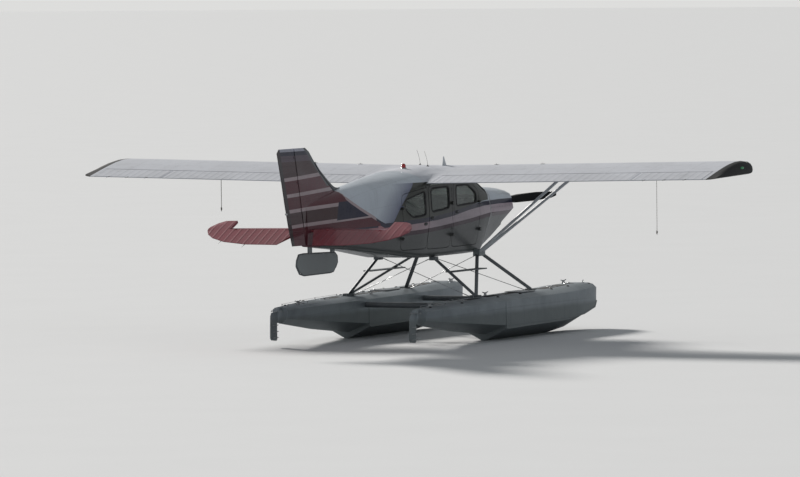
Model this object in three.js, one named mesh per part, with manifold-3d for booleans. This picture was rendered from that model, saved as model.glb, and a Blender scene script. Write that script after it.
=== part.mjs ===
// A four-seat high-wing touring aircraft on twin floats, at real size, in millimetres.
// +Z is up and the nose points along -Y, so the aircraft's left side is +X. The origin is on the
// floor under the middle of the aircraft's bounding box, and the float keels rest on Z = 0.
// Stations are distances aft of the propeller's plane. aft() turns a station into Y.

import * as THREE from "three";
import { mergeVertices } from "three/addons/utils/BufferGeometryUtils.js";
import Module from "manifold-3d";

const wasm = await Module();
wasm.setup();

// Driving dimensions of the whole aircraft.
const SPAN = 9640;
const HUB_HEIGHT = 1830;
const FLOAT_SPACING = 2100;
const BOW_STATION = -1050;
const STERN_STATION = 4700;
const TAIL_STATION = 6890;
const SEAM = 0.3;
const MOVING_GAP = 8;

const HUB_Y = -(BOW_STATION + TAIL_STATION) / 2;
const aft = (station) => station + HUB_Y;
const SIDES = [
  { side: "left", sign: 1 },
  { side: "right", sign: -1 },
];
const radians = THREE.MathUtils.degToRad;

// Finishes.
const finish = (color, roughness, metalness, extra = {}) =>
  new THREE.MeshStandardMaterial({ color, roughness, metalness, ...extra });
const WHITE_PAINT = finish(0xe6e8ea, 0.35, 0.0);
const RED_PAINT = finish(0x7c1f28, 0.35, 0.0);
const GREY_PAINT = finish(0x85898c, 0.4, 0.1);
const BARE_ALUMINIUM = finish(0x9da3a8, 0.4, 0.9);
const BLACK_PAINT = finish(0x16171a, 0.4, 0.1);
const ENGINE_METAL = finish(0x4c4c4c, 0.6, 0.6);
const CLEAR_GLASS = finish(0xaec4c8, 0.05, 0.0, { transparent: true, opacity: 0.35 });
const SEAT_LEATHER = finish(0x5a5048, 0.7, 0.0);
const PANEL_PLASTIC = finish(0x26282a, 0.6, 0.0);
const BUMPER_RUBBER = finish(0x1f1f20, 0.8, 0.0);

// Solids and geometries.
function toSolid(geometry) {
  const bare = geometry.index ? geometry.toNonIndexed() : geometry.clone();
  bare.deleteAttribute("normal");
  bare.deleteAttribute("uv");
  const merged = mergeVertices(bare, 1e-3);
  return new wasm.Manifold(
    new wasm.Mesh({
      numProp: 3,
      vertProperties: new Float32Array(merged.attributes.position.array),
      triVerts: new Uint32Array(merged.index.array),
    }),
  );
}

function toGeometry(solid) {
  const mesh = solid.getMesh();
  const positions = new Float32Array(mesh.numVert * 3);
  for (let i = 0; i < mesh.numVert; i++) {
    positions.set(
      mesh.vertProperties.subarray(i * mesh.numProp, i * mesh.numProp + 3),
      i * 3,
    );
  }
  return new THREE.BufferGeometry()
    .setAttribute("position", new THREE.BufferAttribute(positions, 3))
    .setIndex(new THREE.BufferAttribute(new Uint32Array(mesh.triVerts), 1));
}

// A closed solid through rings of points, each a closed loop with the same number of points.
// Each patch is split along its shorter diagonal, so both sides of the aircraft match.
function loft(rings) {
  const count = rings[0].length;
  const positions = rings.flat().flatMap((p) => [p.x, p.y, p.z]);
  const faces = [];
  for (let r = 0; r + 1 < rings.length; r++) {
    for (let i = 0; i < count; i++) {
      const j = (i + 1) % count;
      const [a, b] = [r * count + i, r * count + j];
      const [p, q, pNext, qNext] = [rings[r][i], rings[r][j], rings[r + 1][i], rings[r + 1][j]];
      if (p.distanceTo(qNext) <= q.distanceTo(pNext)) {
        faces.push(a, b, b + count, a, b + count, a + count);
      } else {
        faces.push(a, b, a + count, b, b + count, a + count);
      }
    }
  }
  const lastStart = (rings.length - 1) * count;
  for (const [a, b, c] of capTriangles(rings[0])) {
    faces.push(a, c, b);
  }
  for (const [a, b, c] of capTriangles(rings.at(-1))) {
    faces.push(lastStart + a, lastStart + b, lastStart + c);
  }
  const closed = (indices) =>
    toSolid(
      new THREE.BufferGeometry()
        .setAttribute("position", new THREE.Float32BufferAttribute(positions, 3))
        .setIndex(indices),
    );
  const solid = closed(faces);
  if (solid.volume() > 0) {
    return solid;
  }
  const turned = [];
  for (let i = 0; i < faces.length; i += 3) {
    turned.push(faces[i], faces[i + 2], faces[i + 1]);
  }
  return closed(turned);
}

// The triangles that close a flat ring, wound the same way round as the ring itself.
function capTriangles(ring) {
  const centre = new THREE.Vector3();
  ring.forEach((p) => centre.addScaledVector(p, 1 / ring.length));
  const normal = new THREE.Vector3();
  ring.forEach((p, i) => {
    const q = ring[(i + 1) % ring.length];
    normal.add(p.clone().sub(centre).cross(q.clone().sub(centre)));
  });
  normal.normalize();
  const seed = new THREE.Vector3(...(Math.abs(normal.x) < 0.8 ? [1, 0, 0] : [0, 1, 0]));
  const u = seed.cross(normal).normalize();
  const v = normal.clone().cross(u);
  const flat = ring.map((p) => {
    const offset = p.clone().sub(centre);
    return new THREE.Vector2(offset.dot(u), offset.dot(v));
  });
  return THREE.ShapeUtils.triangulateShape(flat, []);
}

// A box from its lowest and highest corners.
function block(low, high) {
  const size = high.map((v, i) => v - low[i]);
  const geometry = new THREE.BoxGeometry(...size);
  geometry.translate(...low.map((v, i) => v + size[i] / 2));
  return toSolid(geometry);
}

// A round bar between two points.
function bar(from, to, radius, sides = 16) {
  const start = new THREE.Vector3(...from);
  const along = new THREE.Vector3(...to).sub(start);
  const geometry = new THREE.CylinderGeometry(radius, radius, along.length(), sides);
  geometry.translate(0, along.length() / 2, 0);
  geometry.applyQuaternion(
    new THREE.Quaternion().setFromUnitVectors(new THREE.Vector3(0, 1, 0), along.normalize()),
  );
  geometry.translate(...from);
  return toSolid(geometry);
}

// A plate cut to a side-view outline of [station, height] points, between two X positions.
function sidePlate(outline, xLow, xHigh) {
  const ring = (x) => outline.map(([station, height]) => new THREE.Vector3(x, aft(station), height));
  return loft([ring(xLow), ring(xHigh)]);
}

// A convex outline grown by a distance, or shrunk where the distance is negative.
function grown(outline, distance) {
  const area = outline.reduce((sum, [a, b], i) => {
    const [c, d] = outline[(i + 1) % outline.length];
    return sum + a * d - c * b;
  }, 0);
  const turn = Math.sign(area);
  const outward = (from, to) => {
    const [da, db] = [to[0] - from[0], to[1] - from[1]];
    const length = Math.hypot(da, db);
    return [(turn * db) / length, (-turn * da) / length];
  };
  return outline.map((point, i) => {
    const n1 = outward(outline[(i + outline.length - 1) % outline.length], point);
    const n2 = outward(point, outline[(i + 1) % outline.length]);
    const share = distance / (1 + n1[0] * n2[0] + n1[1] * n2[1]);
    return [point[0] + share * (n1[0] + n2[0]), point[1] + share * (n1[1] + n2[1])];
  });
}

// The same outline with each corner cut back to three points on a curve.
function softened(outline, radius) {
  return outline.flatMap((point, i) => {
    const toward = (other) => {
      const [da, db] = [other[0] - point[0], other[1] - point[1]];
      const length = Math.hypot(da, db);
      const share = Math.min(radius, length * 0.45) / length;
      return [point[0] + da * share, point[1] + db * share];
    };
    const near = toward(outline[(i + outline.length - 1) % outline.length]);
    const far = toward(outline[(i + 1) % outline.length]);
    const middle = [0, 1].map((k) => 0.25 * near[k] + 0.5 * point[k] + 0.25 * far[k]);
    return [near, middle, far];
  });
}

// A straight streamlined tube between two points, its chord as near fore-and-aft as it can lie.
const TUBE_OUTLINE = [
  // [share of the chord, share of the thickness]
  [-0.5, 0],
  [-0.38, 0.36],
  [-0.1, 0.5],
  [0.25, 0.36],
  [0.5, 0.05],
  [0.5, -0.05],
  [0.25, -0.36],
  [-0.1, -0.5],
  [-0.38, -0.36],
];
function streamlinedTube(from, to, chord, thickness) {
  const start = new THREE.Vector3(...from);
  const end = new THREE.Vector3(...to);
  const along = end.clone().sub(start).normalize();
  const chordwise = new THREE.Vector3(0, 1, 0);
  chordwise.addScaledVector(along, -chordwise.dot(along)).normalize();
  const across = along.clone().cross(chordwise);
  const ringAt = (point) =>
    TUBE_OUTLINE.map(([c, t]) =>
      point.clone().addScaledVector(chordwise, c * chord).addScaledVector(across, t * thickness),
    );
  return loft([ringAt(start), ringAt(end)]);
}

const joined = (...solids) => solids.reduce((all, one) => all.add(one));
const cutBy = (solid, ...cutters) => cutters.reduce((left, one) => left.subtract(one), solid);
const largestPiece = (solid) =>
  solid.decompose().reduce((best, one) => (one.volume() > best.volume() ? one : best));
const sided = (solid, sign) => (sign > 0 ? solid : solid.mirror([1, 0, 0]));
const turnedAboutX = (solid, angle, [x, y, z]) =>
  solid.translate([-x, -y, -z]).rotate([angle, 0, 0]).translate([x, y, z]);

const parts = new THREE.Group();
parts.name = "floatplane";
function place(name, solid, material) {
  const mesh = new THREE.Mesh(toGeometry(solid), material);
  mesh.name = name;
  parts.add(mesh);
}

// Fuselage: one form from the cowl's face to the sternpost, lofted through these sections.
const COWL_FACE = 230;
const FIREWALL_STATION = 1120;
const ROOF_FRONT = 1750;
const ROOF_REAR = 3300;
const CABIN_REAR = 4200;
const STERNPOST = 6080;
const CEILING = 2220;
const WALL = 40;
const BELLY_CORNER = 70;
const FUSELAGE_SECTIONS = [
  // [station, belly, belly half, waist, waist half, shoulder, shoulder half, crown]
  [COWL_FACE, 1545, 235, 1765, 410, 1888, 380, 1990],
  [300, 1478, 300, 1750, 492, 1905, 462, 2042],
  [600, 1348, 300, 1735, 512, 1925, 480, 2058],
  [FIREWALL_STATION, 1235, 390, 1705, 512, 1955, 480, 2096],
  [1300, 1172, 430, 1708, 516, 2018, 482, 2164],
  [ROOF_FRONT, 1168, 455, 1720, 522, 2200, 500, 2330],
  [2200, 1168, 465, 1720, 528, 2212, 510, 2412],
  [2600, 1168, 465, 1720, 528, 2212, 510, 2405],
  [ROOF_REAR, 1172, 450, 1715, 512, 2190, 485, 2370],
  [CABIN_REAR, 1268, 330, 1710, 385, 2095, 345, 2285],
  [5000, 1355, 215, 1720, 250, 2035, 205, 2195],
  [STERNPOST, 1440, 45, 1660, 55, 1900, 40, 2010],
];

function fuselageRing(station, inset) {
  const rows = FUSELAGE_SECTIONS;
  const next = Math.max(1, rows.findIndex((row) => row[0] >= station));
  const [low, high] = [rows[next - 1], rows[next]];
  const share = (station - low[0]) / (high[0] - low[0]);
  const [, belly, bellyHalf, waist, waistHalf, shoulder, shoulderHalf, crown] = low.map(
    (value, i) => value + (high[i] - value) * share,
  );
  const corner = Math.min(BELLY_CORNER, bellyHalf * 0.6) - inset * 0.4;
  const [bottom, bottomHalf] = [belly + inset, bellyHalf - inset];
  const half = [[0, bottom]];
  for (const angle of [0, 30, 60, 90]) {
    const turn = radians(angle);
    half.push([
      bottomHalf - corner + corner * Math.sin(turn),
      bottom + corner - corner * Math.cos(turn),
    ]);
  }
  half.push([waistHalf - inset, waist]);
  for (const angle of [0, 20, 40, 60, 75, 90]) {
    const turn = radians(angle);
    half.push([
      (shoulderHalf - inset) * Math.cos(turn),
      shoulder + (crown - inset - shoulder) * Math.sin(turn),
    ]);
  }
  half.at(-1)[0] = 0;
  const otherHalf = half
    .slice(1, -1)
    .reverse()
    .map(([x, z]) => [-x, z]);
  return [...half, ...otherHalf].map(([x, z]) => new THREE.Vector3(x, aft(station), z));
}

function fuselageForm(front, rear, inset = 0) {
  const inner = FUSELAGE_SECTIONS.map((row) => row[0]).filter((s) => s > front && s < rear);
  return loft([front, ...inner, rear].map((s) => fuselageRing(s, inset)));
}

// Side-view outlines of the doors and windows, [station, height].
const SIDE_OPENINGS = {
  front: {
    door: [[1500, 1290], [2380, 1290], [2380, 2180], [1850, 2180], [1500, 2036]],
    glass: [[1590, 1875], [2290, 1855], [2290, 2135], [1880, 2135], [1590, 2014]],
  },
  rear: {
    door: [[2444, 1290], [3160, 1290], [3160, 2165], [2444, 2180]],
    glass: [[2530, 1838], [3080, 1798], [3080, 2120], [2530, 2135]],
  },
  cargo: {
    door: [[3176, 1300], [3850, 1300], [3850, 2055], [3176, 2150]],
    glass: [[3262, 1770], [3600, 1742], [3768, 1850], [3768, 1985], [3262, 2092]],
  },
};
const GLASS_DEPTH = 14;
const GLASS_THICKNESS = 6;
const SCREEN_OUTLINE = [[1185, 1990], [1735, 2248], [1735, 2500], [1185, 2500]];

const cabinShellForm = cutBy(
  fuselageForm(FIREWALL_STATION, CABIN_REAR),
  fuselageForm(FIREWALL_STATION + 30, CABIN_REAR - WALL, WALL),
  block([-900, aft(ROOF_FRONT), CEILING - SEAM], [900, aft(ROOF_REAR), 2600]),
);
const glassForm = cutBy(
  fuselageForm(FIREWALL_STATION, CABIN_REAR, GLASS_DEPTH),
  fuselageForm(FIREWALL_STATION, CABIN_REAR, GLASS_DEPTH + GLASS_THICKNESS),
);
const sidePrism = (outline, sign) =>
  sidePlate(outline, ...(sign > 0 ? [200, 800] : [-800, -200]));

let cabinShell = cutBy(cabinShellForm, sidePlate(SCREEN_OUTLINE, -900, 900));
place(
  "windscreen",
  glassForm.intersect(sidePlate(grown(SCREEN_OUTLINE, -SEAM), -900, 900)),
  CLEAR_GLASS,
);
// Door hinges stand just outside the skin on upright pins. The door lies on the side toward.
const DOOR_HINGES = {
  front: { x: 522, station: 1494, toward: 1, heights: [1500, 1880], reach: 75 },
  rear: { x: 542, station: 2438, toward: 1, heights: [1460, 1900], reach: 75 },
  cargo: { x: 449, station: 3856, toward: -1, heights: [1460, 1880], reach: 75 },
};
const KNUCKLE = { radius: 11, half: 14, pin: 4, ear: 9 };
function hingePieces({ x, station, toward, heights, reach }) {
  const column = (low, high, radius) => bar([x, aft(station), low], [x, aft(station), high], radius, 20);
  const arm = (low, high, near, far) => {
    const [a, b] = [aft(station + toward * near), aft(station + toward * far)];
    return block([x - reach, Math.min(a, b), low], [x + 7, Math.max(a, b), high]);
  };
  const knuckles = [];
  const ears = [];
  for (const height of heights) {
    const [low, high] = [height - KNUCKLE.half, height + KNUCKLE.half];
    knuckles.push(
      cutBy(
        joined(column(low, high, KNUCKLE.radius), arm(low, high, 0, 30)),
        column(low - 1, high + 1, KNUCKLE.pin + SEAM),
      ),
    );
    ears.push(column(low - KNUCKLE.ear, high + KNUCKLE.ear, KNUCKLE.pin));
    for (const [from, to] of [
      [low - KNUCKLE.ear, low - SEAM],
      [high + SEAM, high + KNUCKLE.ear],
    ]) {
      ears.push(column(from, to, KNUCKLE.radius), arm(from, to, -30, -2));
    }
  }
  return { knuckles: joined(...knuckles), ears: joined(...ears) };
}

const SIDE_WINDOWS = [
  // [name, outline, sign of X, opens]
  ["front_left", "front", 1, true],
  ["front_right", "front", -1, true],
  ["rear_right", "rear", -1, true],
  ["cargo_right", "cargo", -1, true],
  ["rear_left", "rear", 1, false],
  ["aft_left", "cargo", 1, false],
];
const cabinInside = fuselageForm(FIREWALL_STATION + 30, CABIN_REAR - WALL, WALL);
for (const [name, kind, sign, opens] of SIDE_WINDOWS) {
  const pane = softened(SIDE_OPENINGS[kind].glass, 60);
  place(
    `${opens ? "door" : "side"}_window_${name}`,
    glassForm.intersect(sidePrism(grown(pane, -SEAM), sign)),
    CLEAR_GLASS,
  );
  if (opens) {
    const edge = softened(SIDE_OPENINGS[kind].door, 70);
    const hinge = hingePieces(DOOR_HINGES[kind]);
    const panel = cutBy(cabinShellForm.intersect(sidePrism(edge, sign)), sidePrism(pane, sign));
    place(`door_${name}`, panel.add(sided(cutBy(hinge.knuckles, cabinInside), sign)), WHITE_PAINT);
    cabinShell = cutBy(cabinShell, sidePrism(grown(edge, MOVING_GAP), sign));
    cabinShell = cabinShell.add(sided(cutBy(hinge.ears, cabinInside), sign));
  } else {
    cabinShell = cutBy(cabinShell, sidePrism(pane, sign));
  }
}
place("cabin_shell", cabinShell, WHITE_PAINT);

// Cowling, firewall and engine.
const COWL_WALL = 14;
const SHAFT_HOLE_RADIUS = 75;
const INLET = { x: 245, height: 1850, width: 170, tall: 90 };
const cowlInlets = SIDES.map(({ sign }) =>
  block(
    [sign * INLET.x - INLET.width / 2, aft(COWL_FACE - 50), INLET.height - INLET.tall / 2],
    [sign * INLET.x + INLET.width / 2, aft(COWL_FACE + 60), INLET.height + INLET.tall / 2],
  ),
);
const shaftBar = (from, to, radius, sides) =>
  bar([0, aft(from), HUB_HEIGHT], [0, aft(to), HUB_HEIGHT], radius, sides);
place(
  "cowling",
  cutBy(
    fuselageForm(COWL_FACE, FIREWALL_STATION - 21),
    fuselageForm(COWL_FACE + COWL_WALL, FIREWALL_STATION - 20, COWL_WALL),
    shaftBar(COWL_FACE - 50, COWL_FACE + 60, SHAFT_HOLE_RADIUS, 28),
    ...cowlInlets,
  ),
  WHITE_PAINT,
);
place(
  "firewall",
  fuselageForm(FIREWALL_STATION - 20.7, FIREWALL_STATION - SEAM),
  BARE_ALUMINIUM,
);
place(
  "engine_block",
  joined(
    block([-320, aft(520), 1660], [320, aft(1060), 1900]),
    shaftBar(60 + SEAM, 530, 50, 24),
    block([-60, aft(1050), 1700], [60, aft(FIREWALL_STATION - 21), 1820]),
  ),
  ENGINE_METAL,
);

// Propeller, two blades almost level, and a spinner with an open back.
const PROP_RADIUS = 1030;
const BLADE_TILT = 6;
const SPINNER = { tip: -250, base: 200, radius: 175, wall: 5 };
const BLADE_SECTIONS = [
  // [radius, chord, thickness, pitch angle in degrees]
  [30, 70, 60, 40],
  [190, 85, 46, 40],
  [400, 135, 28, 30],
  [700, 130, 17, 21],
  [950, 95, 9, 16],
  [PROP_RADIUS, 42, 6, 14],
];
const blade = loft(
  BLADE_SECTIONS.map(([radius, chord, thickness, pitch]) => {
    const [sine, cosine] = [Math.sin(radians(pitch)), Math.cos(radians(pitch))];
    return TUBE_OUTLINE.map(([c, t]) => {
      const [a, b] = [c * chord, t * thickness];
      return new THREE.Vector3(radius, b * cosine + a * sine, a * cosine - b * sine);
    });
  }),
);
const hubAt = [0, aft(0), HUB_HEIGHT];
const propeller = joined(bar([0, -60, 0], [0, 60, 0], 85, 28), blade, blade.rotate([0, 180, 0]));
place("propeller", propeller.rotate([0, BLADE_TILT, 0]).translate(hubAt), BLACK_PAINT);

function spinnerForm(inset) {
  const length = SPINNER.base - SPINNER.tip;
  const profile = [new THREE.Vector2(0, SPINNER.tip + inset * 2)];
  for (const share of [0.06, 0.2, 0.4, 0.6, 0.8, 1]) {
    const radius = (SPINNER.radius - inset) * Math.pow(Math.sin((share * Math.PI) / 2), 0.75);
    profile.push(new THREE.Vector2(radius, SPINNER.tip + inset * 2 * (1 - share) + share * length));
  }
  if (inset > 0) {
    profile.push(new THREE.Vector2(SPINNER.radius - inset, SPINNER.base + 10));
  }
  profile.push(new THREE.Vector2(0, profile.at(-1).y), profile[0].clone());
  const solid = toSolid(new THREE.LatheGeometry(profile, 32));
  return solid;
}
const bladeSlot = block([-260, -42, -46], [260, 42, 46]);
const spinnerRing = cutBy(
  bar([0, 60 + SEAM, 0], [0, 68, 0], 168, 32),
  bar([0, 50, 0], [0, 80, 0], 58, 28),
);
place(
  "spinner",
  joined(cutBy(spinnerForm(0), spinnerForm(SPINNER.wall), bladeSlot), spinnerRing)
    .rotate([0, BLADE_TILT, 0])
    .translate(hubAt),
  WHITE_PAINT,
);

// Wings: a flat-bottomed section, built flat and then set to the wing's incidence and dihedral.
const WING_CHORD = 1600;
const WING_FRONT = 1700;
const WING_BASE_HEIGHT = 2234;
const WING_ROOT = 534;
const INCIDENCE = 1.3;
const DIHEDRAL = 1.0;
const TIP_CAP = 4700;
const WING_SECTION = [
  // [share of the chord, upper, lower]
  [0, 0.034, 0.034],
  [0.0125, 0.062, 0.012],
  [0.05, 0.088, 0.003],
  [0.12, 0.108, 0],
  [0.22, 0.118, 0],
  [0.35, 0.117, 0],
  [0.5, 0.101, 0],
  [0.65, 0.076, 0],
  [0.8, 0.047, 0],
  [0.92, 0.022, 0],
  [1, 0.006, 0],
];
function wingRing(x, front = 0, chord = WING_CHORD, thick = 1, droop = 0) {
  const middle = 0.04;
  const upper = WING_SECTION.map(([c, up]) => [c, up]);
  const lower = WING_SECTION.slice(1)
    .reverse()
    .map(([c, , low]) => [c, low]);
  return [...upper, ...lower].map(
    ([c, h]) =>
      new THREE.Vector3(
        x,
        front + c * chord,
        (middle + (h - middle) * thick) * WING_CHORD - droop,
      ),
  );
}
const wingFrame = (solid) =>
  solid
    .rotate([-INCIDENCE, -DIHEDRAL, 0])
    .translate([0, aft(WING_FRONT), WING_BASE_HEIGHT - WING_ROOT * Math.sin(radians(DIHEDRAL))]);

const HINGE_CHORD = 1210;
const HINGE_LIFT = 44;
const NOSE_RADIUS = 42;
const HINGE_PIN = { radius: 9, depth: 40 };
const CONTROLS = [
  // [name, inner end, outer end]
  ["flap", 600, 3570],
  ["aileron", 3598, 4640],
];
const HINGE_BRACKET = [3578, 3590];
const wingForm = loft([wingRing(WING_ROOT - 20), wingRing(TIP_CAP)]);
const inboardOfRoot = block([-200, -9000, 0], [WING_ROOT, 9000, 4000]);
const hingeBar = (from, to, radius) =>
  bar([from, HINGE_CHORD, HINGE_LIFT], [to, HINGE_CHORD, HINGE_LIFT], radius, 24);
let fixedWing = wingForm;
for (const [name, inner, outer] of CONTROLS) {
  fixedWing = cutBy(
    fixedWing,
    block([inner - MOVING_GAP, HINGE_CHORD, -200], [outer + MOVING_GAP, 1800, 300]),
    hingeBar(inner - MOVING_GAP, outer + MOVING_GAP, NOSE_RADIUS + MOVING_GAP),
  );
  const blank = wingForm.intersect(block([inner, HINGE_CHORD, -200], [outer, 1800, 300]));
  const bores = [
    hingeBar(inner - 1, inner + HINGE_PIN.depth + 2, HINGE_PIN.radius + SEAM),
    hingeBar(outer - HINGE_PIN.depth - 2, outer + 1, HINGE_PIN.radius + SEAM),
  ];
  const surface = wingFrame(cutBy(joined(blank, hingeBar(inner, outer, NOSE_RADIUS)), ...bores));
  for (const { side, sign } of SIDES) {
    place(`${name}_${side}`, sided(surface, sign), WHITE_PAINT);
  }
}
const [bracketIn, bracketOut] = HINGE_BRACKET;
fixedWing = joined(
  fixedWing,
  block([bracketIn, HINGE_CHORD - 80, 22], [bracketOut, HINGE_CHORD + 14, 66]),
  hingeBar(CONTROLS[0][1] - 20, CONTROLS[0][1] + HINGE_PIN.depth, HINGE_PIN.radius),
  hingeBar(CONTROLS[0][2] - HINGE_PIN.depth, CONTROLS[1][1] + HINGE_PIN.depth, HINGE_PIN.radius),
  hingeBar(CONTROLS[1][2] - HINGE_PIN.depth, CONTROLS[1][2] + 20, HINGE_PIN.radius),
);
// A mooring rope hangs from an eye plate under each wing, with a knot in its end.
const ROPE = { x: 3360, behindEdge: 150, radius: 6, knot: 13, step: 30 };
const ROPE_END = { left: 1730, right: 1450 };
const eyeAt = (drop) => [ROPE.x, ROPE.behindEdge, -drop];
fixedWing = cutBy(
  joined(
    fixedWing,
    block([ROPE.x - 4, ROPE.behindEdge - 13, -26], [ROPE.x + 4, ROPE.behindEdge + 13, 20]),
  ),
  bar([ROPE.x - 5, ...eyeAt(13).slice(1)], [ROPE.x + 5, ...eyeAt(13).slice(1)], 7, 16),
);
const eyeBottom = wingFrame(bar(eyeAt(26), eyeAt(24), 3, 8)).boundingBox();
for (const { side, sign } of SIDES) {
  const at = [(eyeBottom.min[0] + eyeBottom.max[0]) / 2, (eyeBottom.min[1] + eyeBottom.max[1]) / 2];
  const top = eyeBottom.min[2] - SEAM;
  const steps = Math.round((top - ROPE_END[side]) / ROPE.step);
  const profile = [];
  for (let i = 0; i <= steps; i++) {
    const height = top + ((ROPE_END[side] - top) * i) / steps;
    const swell = Math.max(0, 1 - Math.abs(height - ROPE_END[side] - 40) / 26);
    profile.push(new THREE.Vector2(ROPE.radius + (ROPE.knot - ROPE.radius) * Math.sqrt(swell), height));
  }
  profile.unshift(new THREE.Vector2(0, top));
  profile.push(new THREE.Vector2(0, ROPE_END[side]), profile[0].clone());
  const hanging = toSolid(new THREE.LatheGeometry(profile.reverse(), 12).rotateX(Math.PI / 2));
  place(`wing_rope_${side}`, sided(hanging.translate([at[0], at[1], 0]), sign), BUMPER_RUBBER);
}
const wingTip = wingFrame(
  loft([
    wingRing(TIP_CAP + SEAM),
    wingRing(TIP_CAP + 60, 60, 1510, 0.97, 0),
    wingRing(TIP_CAP + 100, 165, 1385, 0.85, 2),
    wingRing(SPAN / 2 + 1, 310, 1200, 0.6, 6),
  ]),
);
for (const { side, sign } of SIDES) {
  place(`wing_${side}`, sided(cutBy(wingFrame(fixedWing), inboardOfRoot), sign), WHITE_PAINT);
  place(`wing_tip_${side}`, sided(wingTip, sign), BLACK_PAINT);
}
const centreSlab = loft([wingRing(SEAM - WING_ROOT), wingRing(WING_ROOT - SEAM)])
  .rotate([-INCIDENCE, 0, 0])
  .translate([0, aft(WING_FRONT), WING_BASE_HEIGHT]);
place(
  "roof_centre",
  joined(fuselageForm(ROOF_FRONT + SEAM, ROOF_REAR - SEAM), centreSlab).intersect(
    block([-900, aft(ROOF_FRONT + SEAM), CEILING], [900, aft(ROOF_REAR - SEAM), 2700]),
  ),
  WHITE_PAINT,
);

// Fittings under the longerons, wing struts and float struts.
const FRONT_FITTING = { x: 485, station: 1450 };
const STRUT_TOP = { x: 2200, front: 2010, rear: 2470 };
const FEET = { x: 973, front: 800, rear: 2680, height: 622 };
const PAD_TOP = 634;
const PAD_BOTTOM = 600;
const wingUnderside = (x, station) =>
  WING_BASE_HEIGHT +
  (x - WING_ROOT) * Math.sin(radians(DIHEDRAL)) -
  (station - WING_FRONT) * Math.sin(radians(INCIDENCE));
const cabinOutside = fuselageForm(FIREWALL_STATION, CABIN_REAR, -SEAM);
const belowPads = block([-3000, -9000, 0], [3000, 9000, PAD_BOTTOM]);
const fittingBox = (grow) =>
  block(
    [FRONT_FITTING.x - 55 - grow, aft(FRONT_FITTING.station - 85) - grow, 1120 - grow],
    [FRONT_FITTING.x + 45 + grow, aft(FRONT_FITTING.station + 110) + grow, 1215 + grow],
  );
const trimmed = (tube) => largestPiece(cutBy(tube, fittingBox(SEAM), cabinOutside, belowPads));
const foot = (station) => [FEET.x, aft(station), FEET.height];
// The boarding tread is welded to the diagonal strut and ends against the rear strut.
const TREAD = { inner: 570, outer: 690, front: 1660, rear: 2790, low: 948, high: 964 };
const footPad = (station, grow) =>
  block(
    [FEET.x - 60 - grow, aft(station) - 70 - grow, PAD_BOTTOM - grow],
    [FEET.x + 60 + grow, aft(station) + 70 + grow, PAD_TOP + grow],
  );
const rearStrut = (grow) =>
  streamlinedTube([430, aft(2860), 1150], foot(FEET.rear), 75 + grow, 38 + grow);
const strutParts = {
  strut_fitting: [cutBy(fittingBox(0), cabinOutside), GREY_PAINT],
  float_strut_front: [
    trimmed(
      joined(
        streamlinedTube([475, aft(1420), 1165], foot(FEET.front), 85, 42),
        footPad(FEET.front, 0),
      ),
    ),
    BARE_ALUMINIUM,
  ],
  float_strut_rear: [
    trimmed(
      joined(
        rearStrut(0),
        block([380, aft(2805), 1120], [470, aft(2915), 1171]),
        footPad(FEET.rear, 0),
      ),
    ),
    BARE_ALUMINIUM,
  ],
  float_strut_diagonal: [
    trimmed(
      cutBy(
        joined(
          streamlinedTube([475, aft(1520), 1140], foot(FEET.rear - 20), 60, 34),
          block([TREAD.inner, aft(TREAD.front), TREAD.low], [TREAD.outer, aft(TREAD.rear), TREAD.high]),
        ),
        rearStrut(2 * SEAM),
        footPad(FEET.rear, SEAM),
      ),
    ),
    BARE_ALUMINIUM,
  ],
};
for (const [end, offset, chord] of [["front", -40, 95], ["rear", 54, 75]]) {
  const station = STRUT_TOP[end];
  const top = [STRUT_TOP.x, aft(station), wingUnderside(STRUT_TOP.x, station) + 20];
  const tube = streamlinedTube(
    [FRONT_FITTING.x + 10, aft(FRONT_FITTING.station + offset), 1175],
    top,
    chord,
    40,
  );
  strutParts[`wing_strut_${end}`] = [
    trimmed(cutBy(tube, wingFrame(wingForm).translate([0, 0, -SEAM]))),
    WHITE_PAINT,
  ];
}
for (const [name, [solid, material]] of Object.entries(strutParts)) {
  for (const { side, sign } of SIDES) {
    place(`${name}_${side}`, sided(solid, sign), material);
  }
}

// Floats: a planing bottom with one step, a flat keel strip and a gently rounded deck.
const FLOAT_FRONT = -1000;
const STEP_STATION = 2600;
const FLOAT_SECTIONS = [
  // [station, keel, chine, chine half, gunwale, gunwale half, deck]
  [FLOAT_FRONT, 430, 455, 70, 560, 75, 610],
  [-900, 300, 385, 185, 572, 190, 640],
  [-600, 165, 310, 290, 585, 292, 655],
  [-100, 50, 240, 345, 580, 345, 645],
  [500, 0, 190, 360, 570, 360, 625],
  [STEP_STATION, 0, 172, 360, 552, 352, 600],
];
const AFTERBODY_SECTIONS = [
  [STEP_STATION - 20, 85, 215, 352, 552, 352, 600],
  [3700, 190, 300, 250, 535, 262, 580],
  [STERN_STATION, 320, 385, 100, 505, 120, 545],
];
function floatRing([station, keel, chine, chineHalf, gunwale, gunwaleHalf, deck]) {
  const half = [
    [25, keel],
    [chineHalf, chine],
    [gunwaleHalf, gunwale],
    [gunwaleHalf * 0.7, gunwale + (deck - gunwale) * 0.75],
    [gunwaleHalf * 0.3, deck],
  ];
  const other = half.map(([x, z]) => [-x, z]).reverse();
  return [...half, ...other].map(([x, z]) => new THREE.Vector3(x, aft(station), z));
}
const floatForm = joined(
  loft(FLOAT_SECTIONS.map(floatRing)),
  loft(AFTERBODY_SECTIONS.map(floatRing)),
);
const footOffset = FEET.x - FLOAT_SPACING / 2;
const padSeat = (station, reach, low, high) =>
  block(
    [footOffset - 60 - reach, aft(station) - 70 - reach, low],
    [footOffset + 60 + reach, aft(station) + 70 + reach, high],
  );
const RUDDER_PIN = { station: 4775, low: 346, high: 520, lug: 0.3, lugThickness: 13 };
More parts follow.
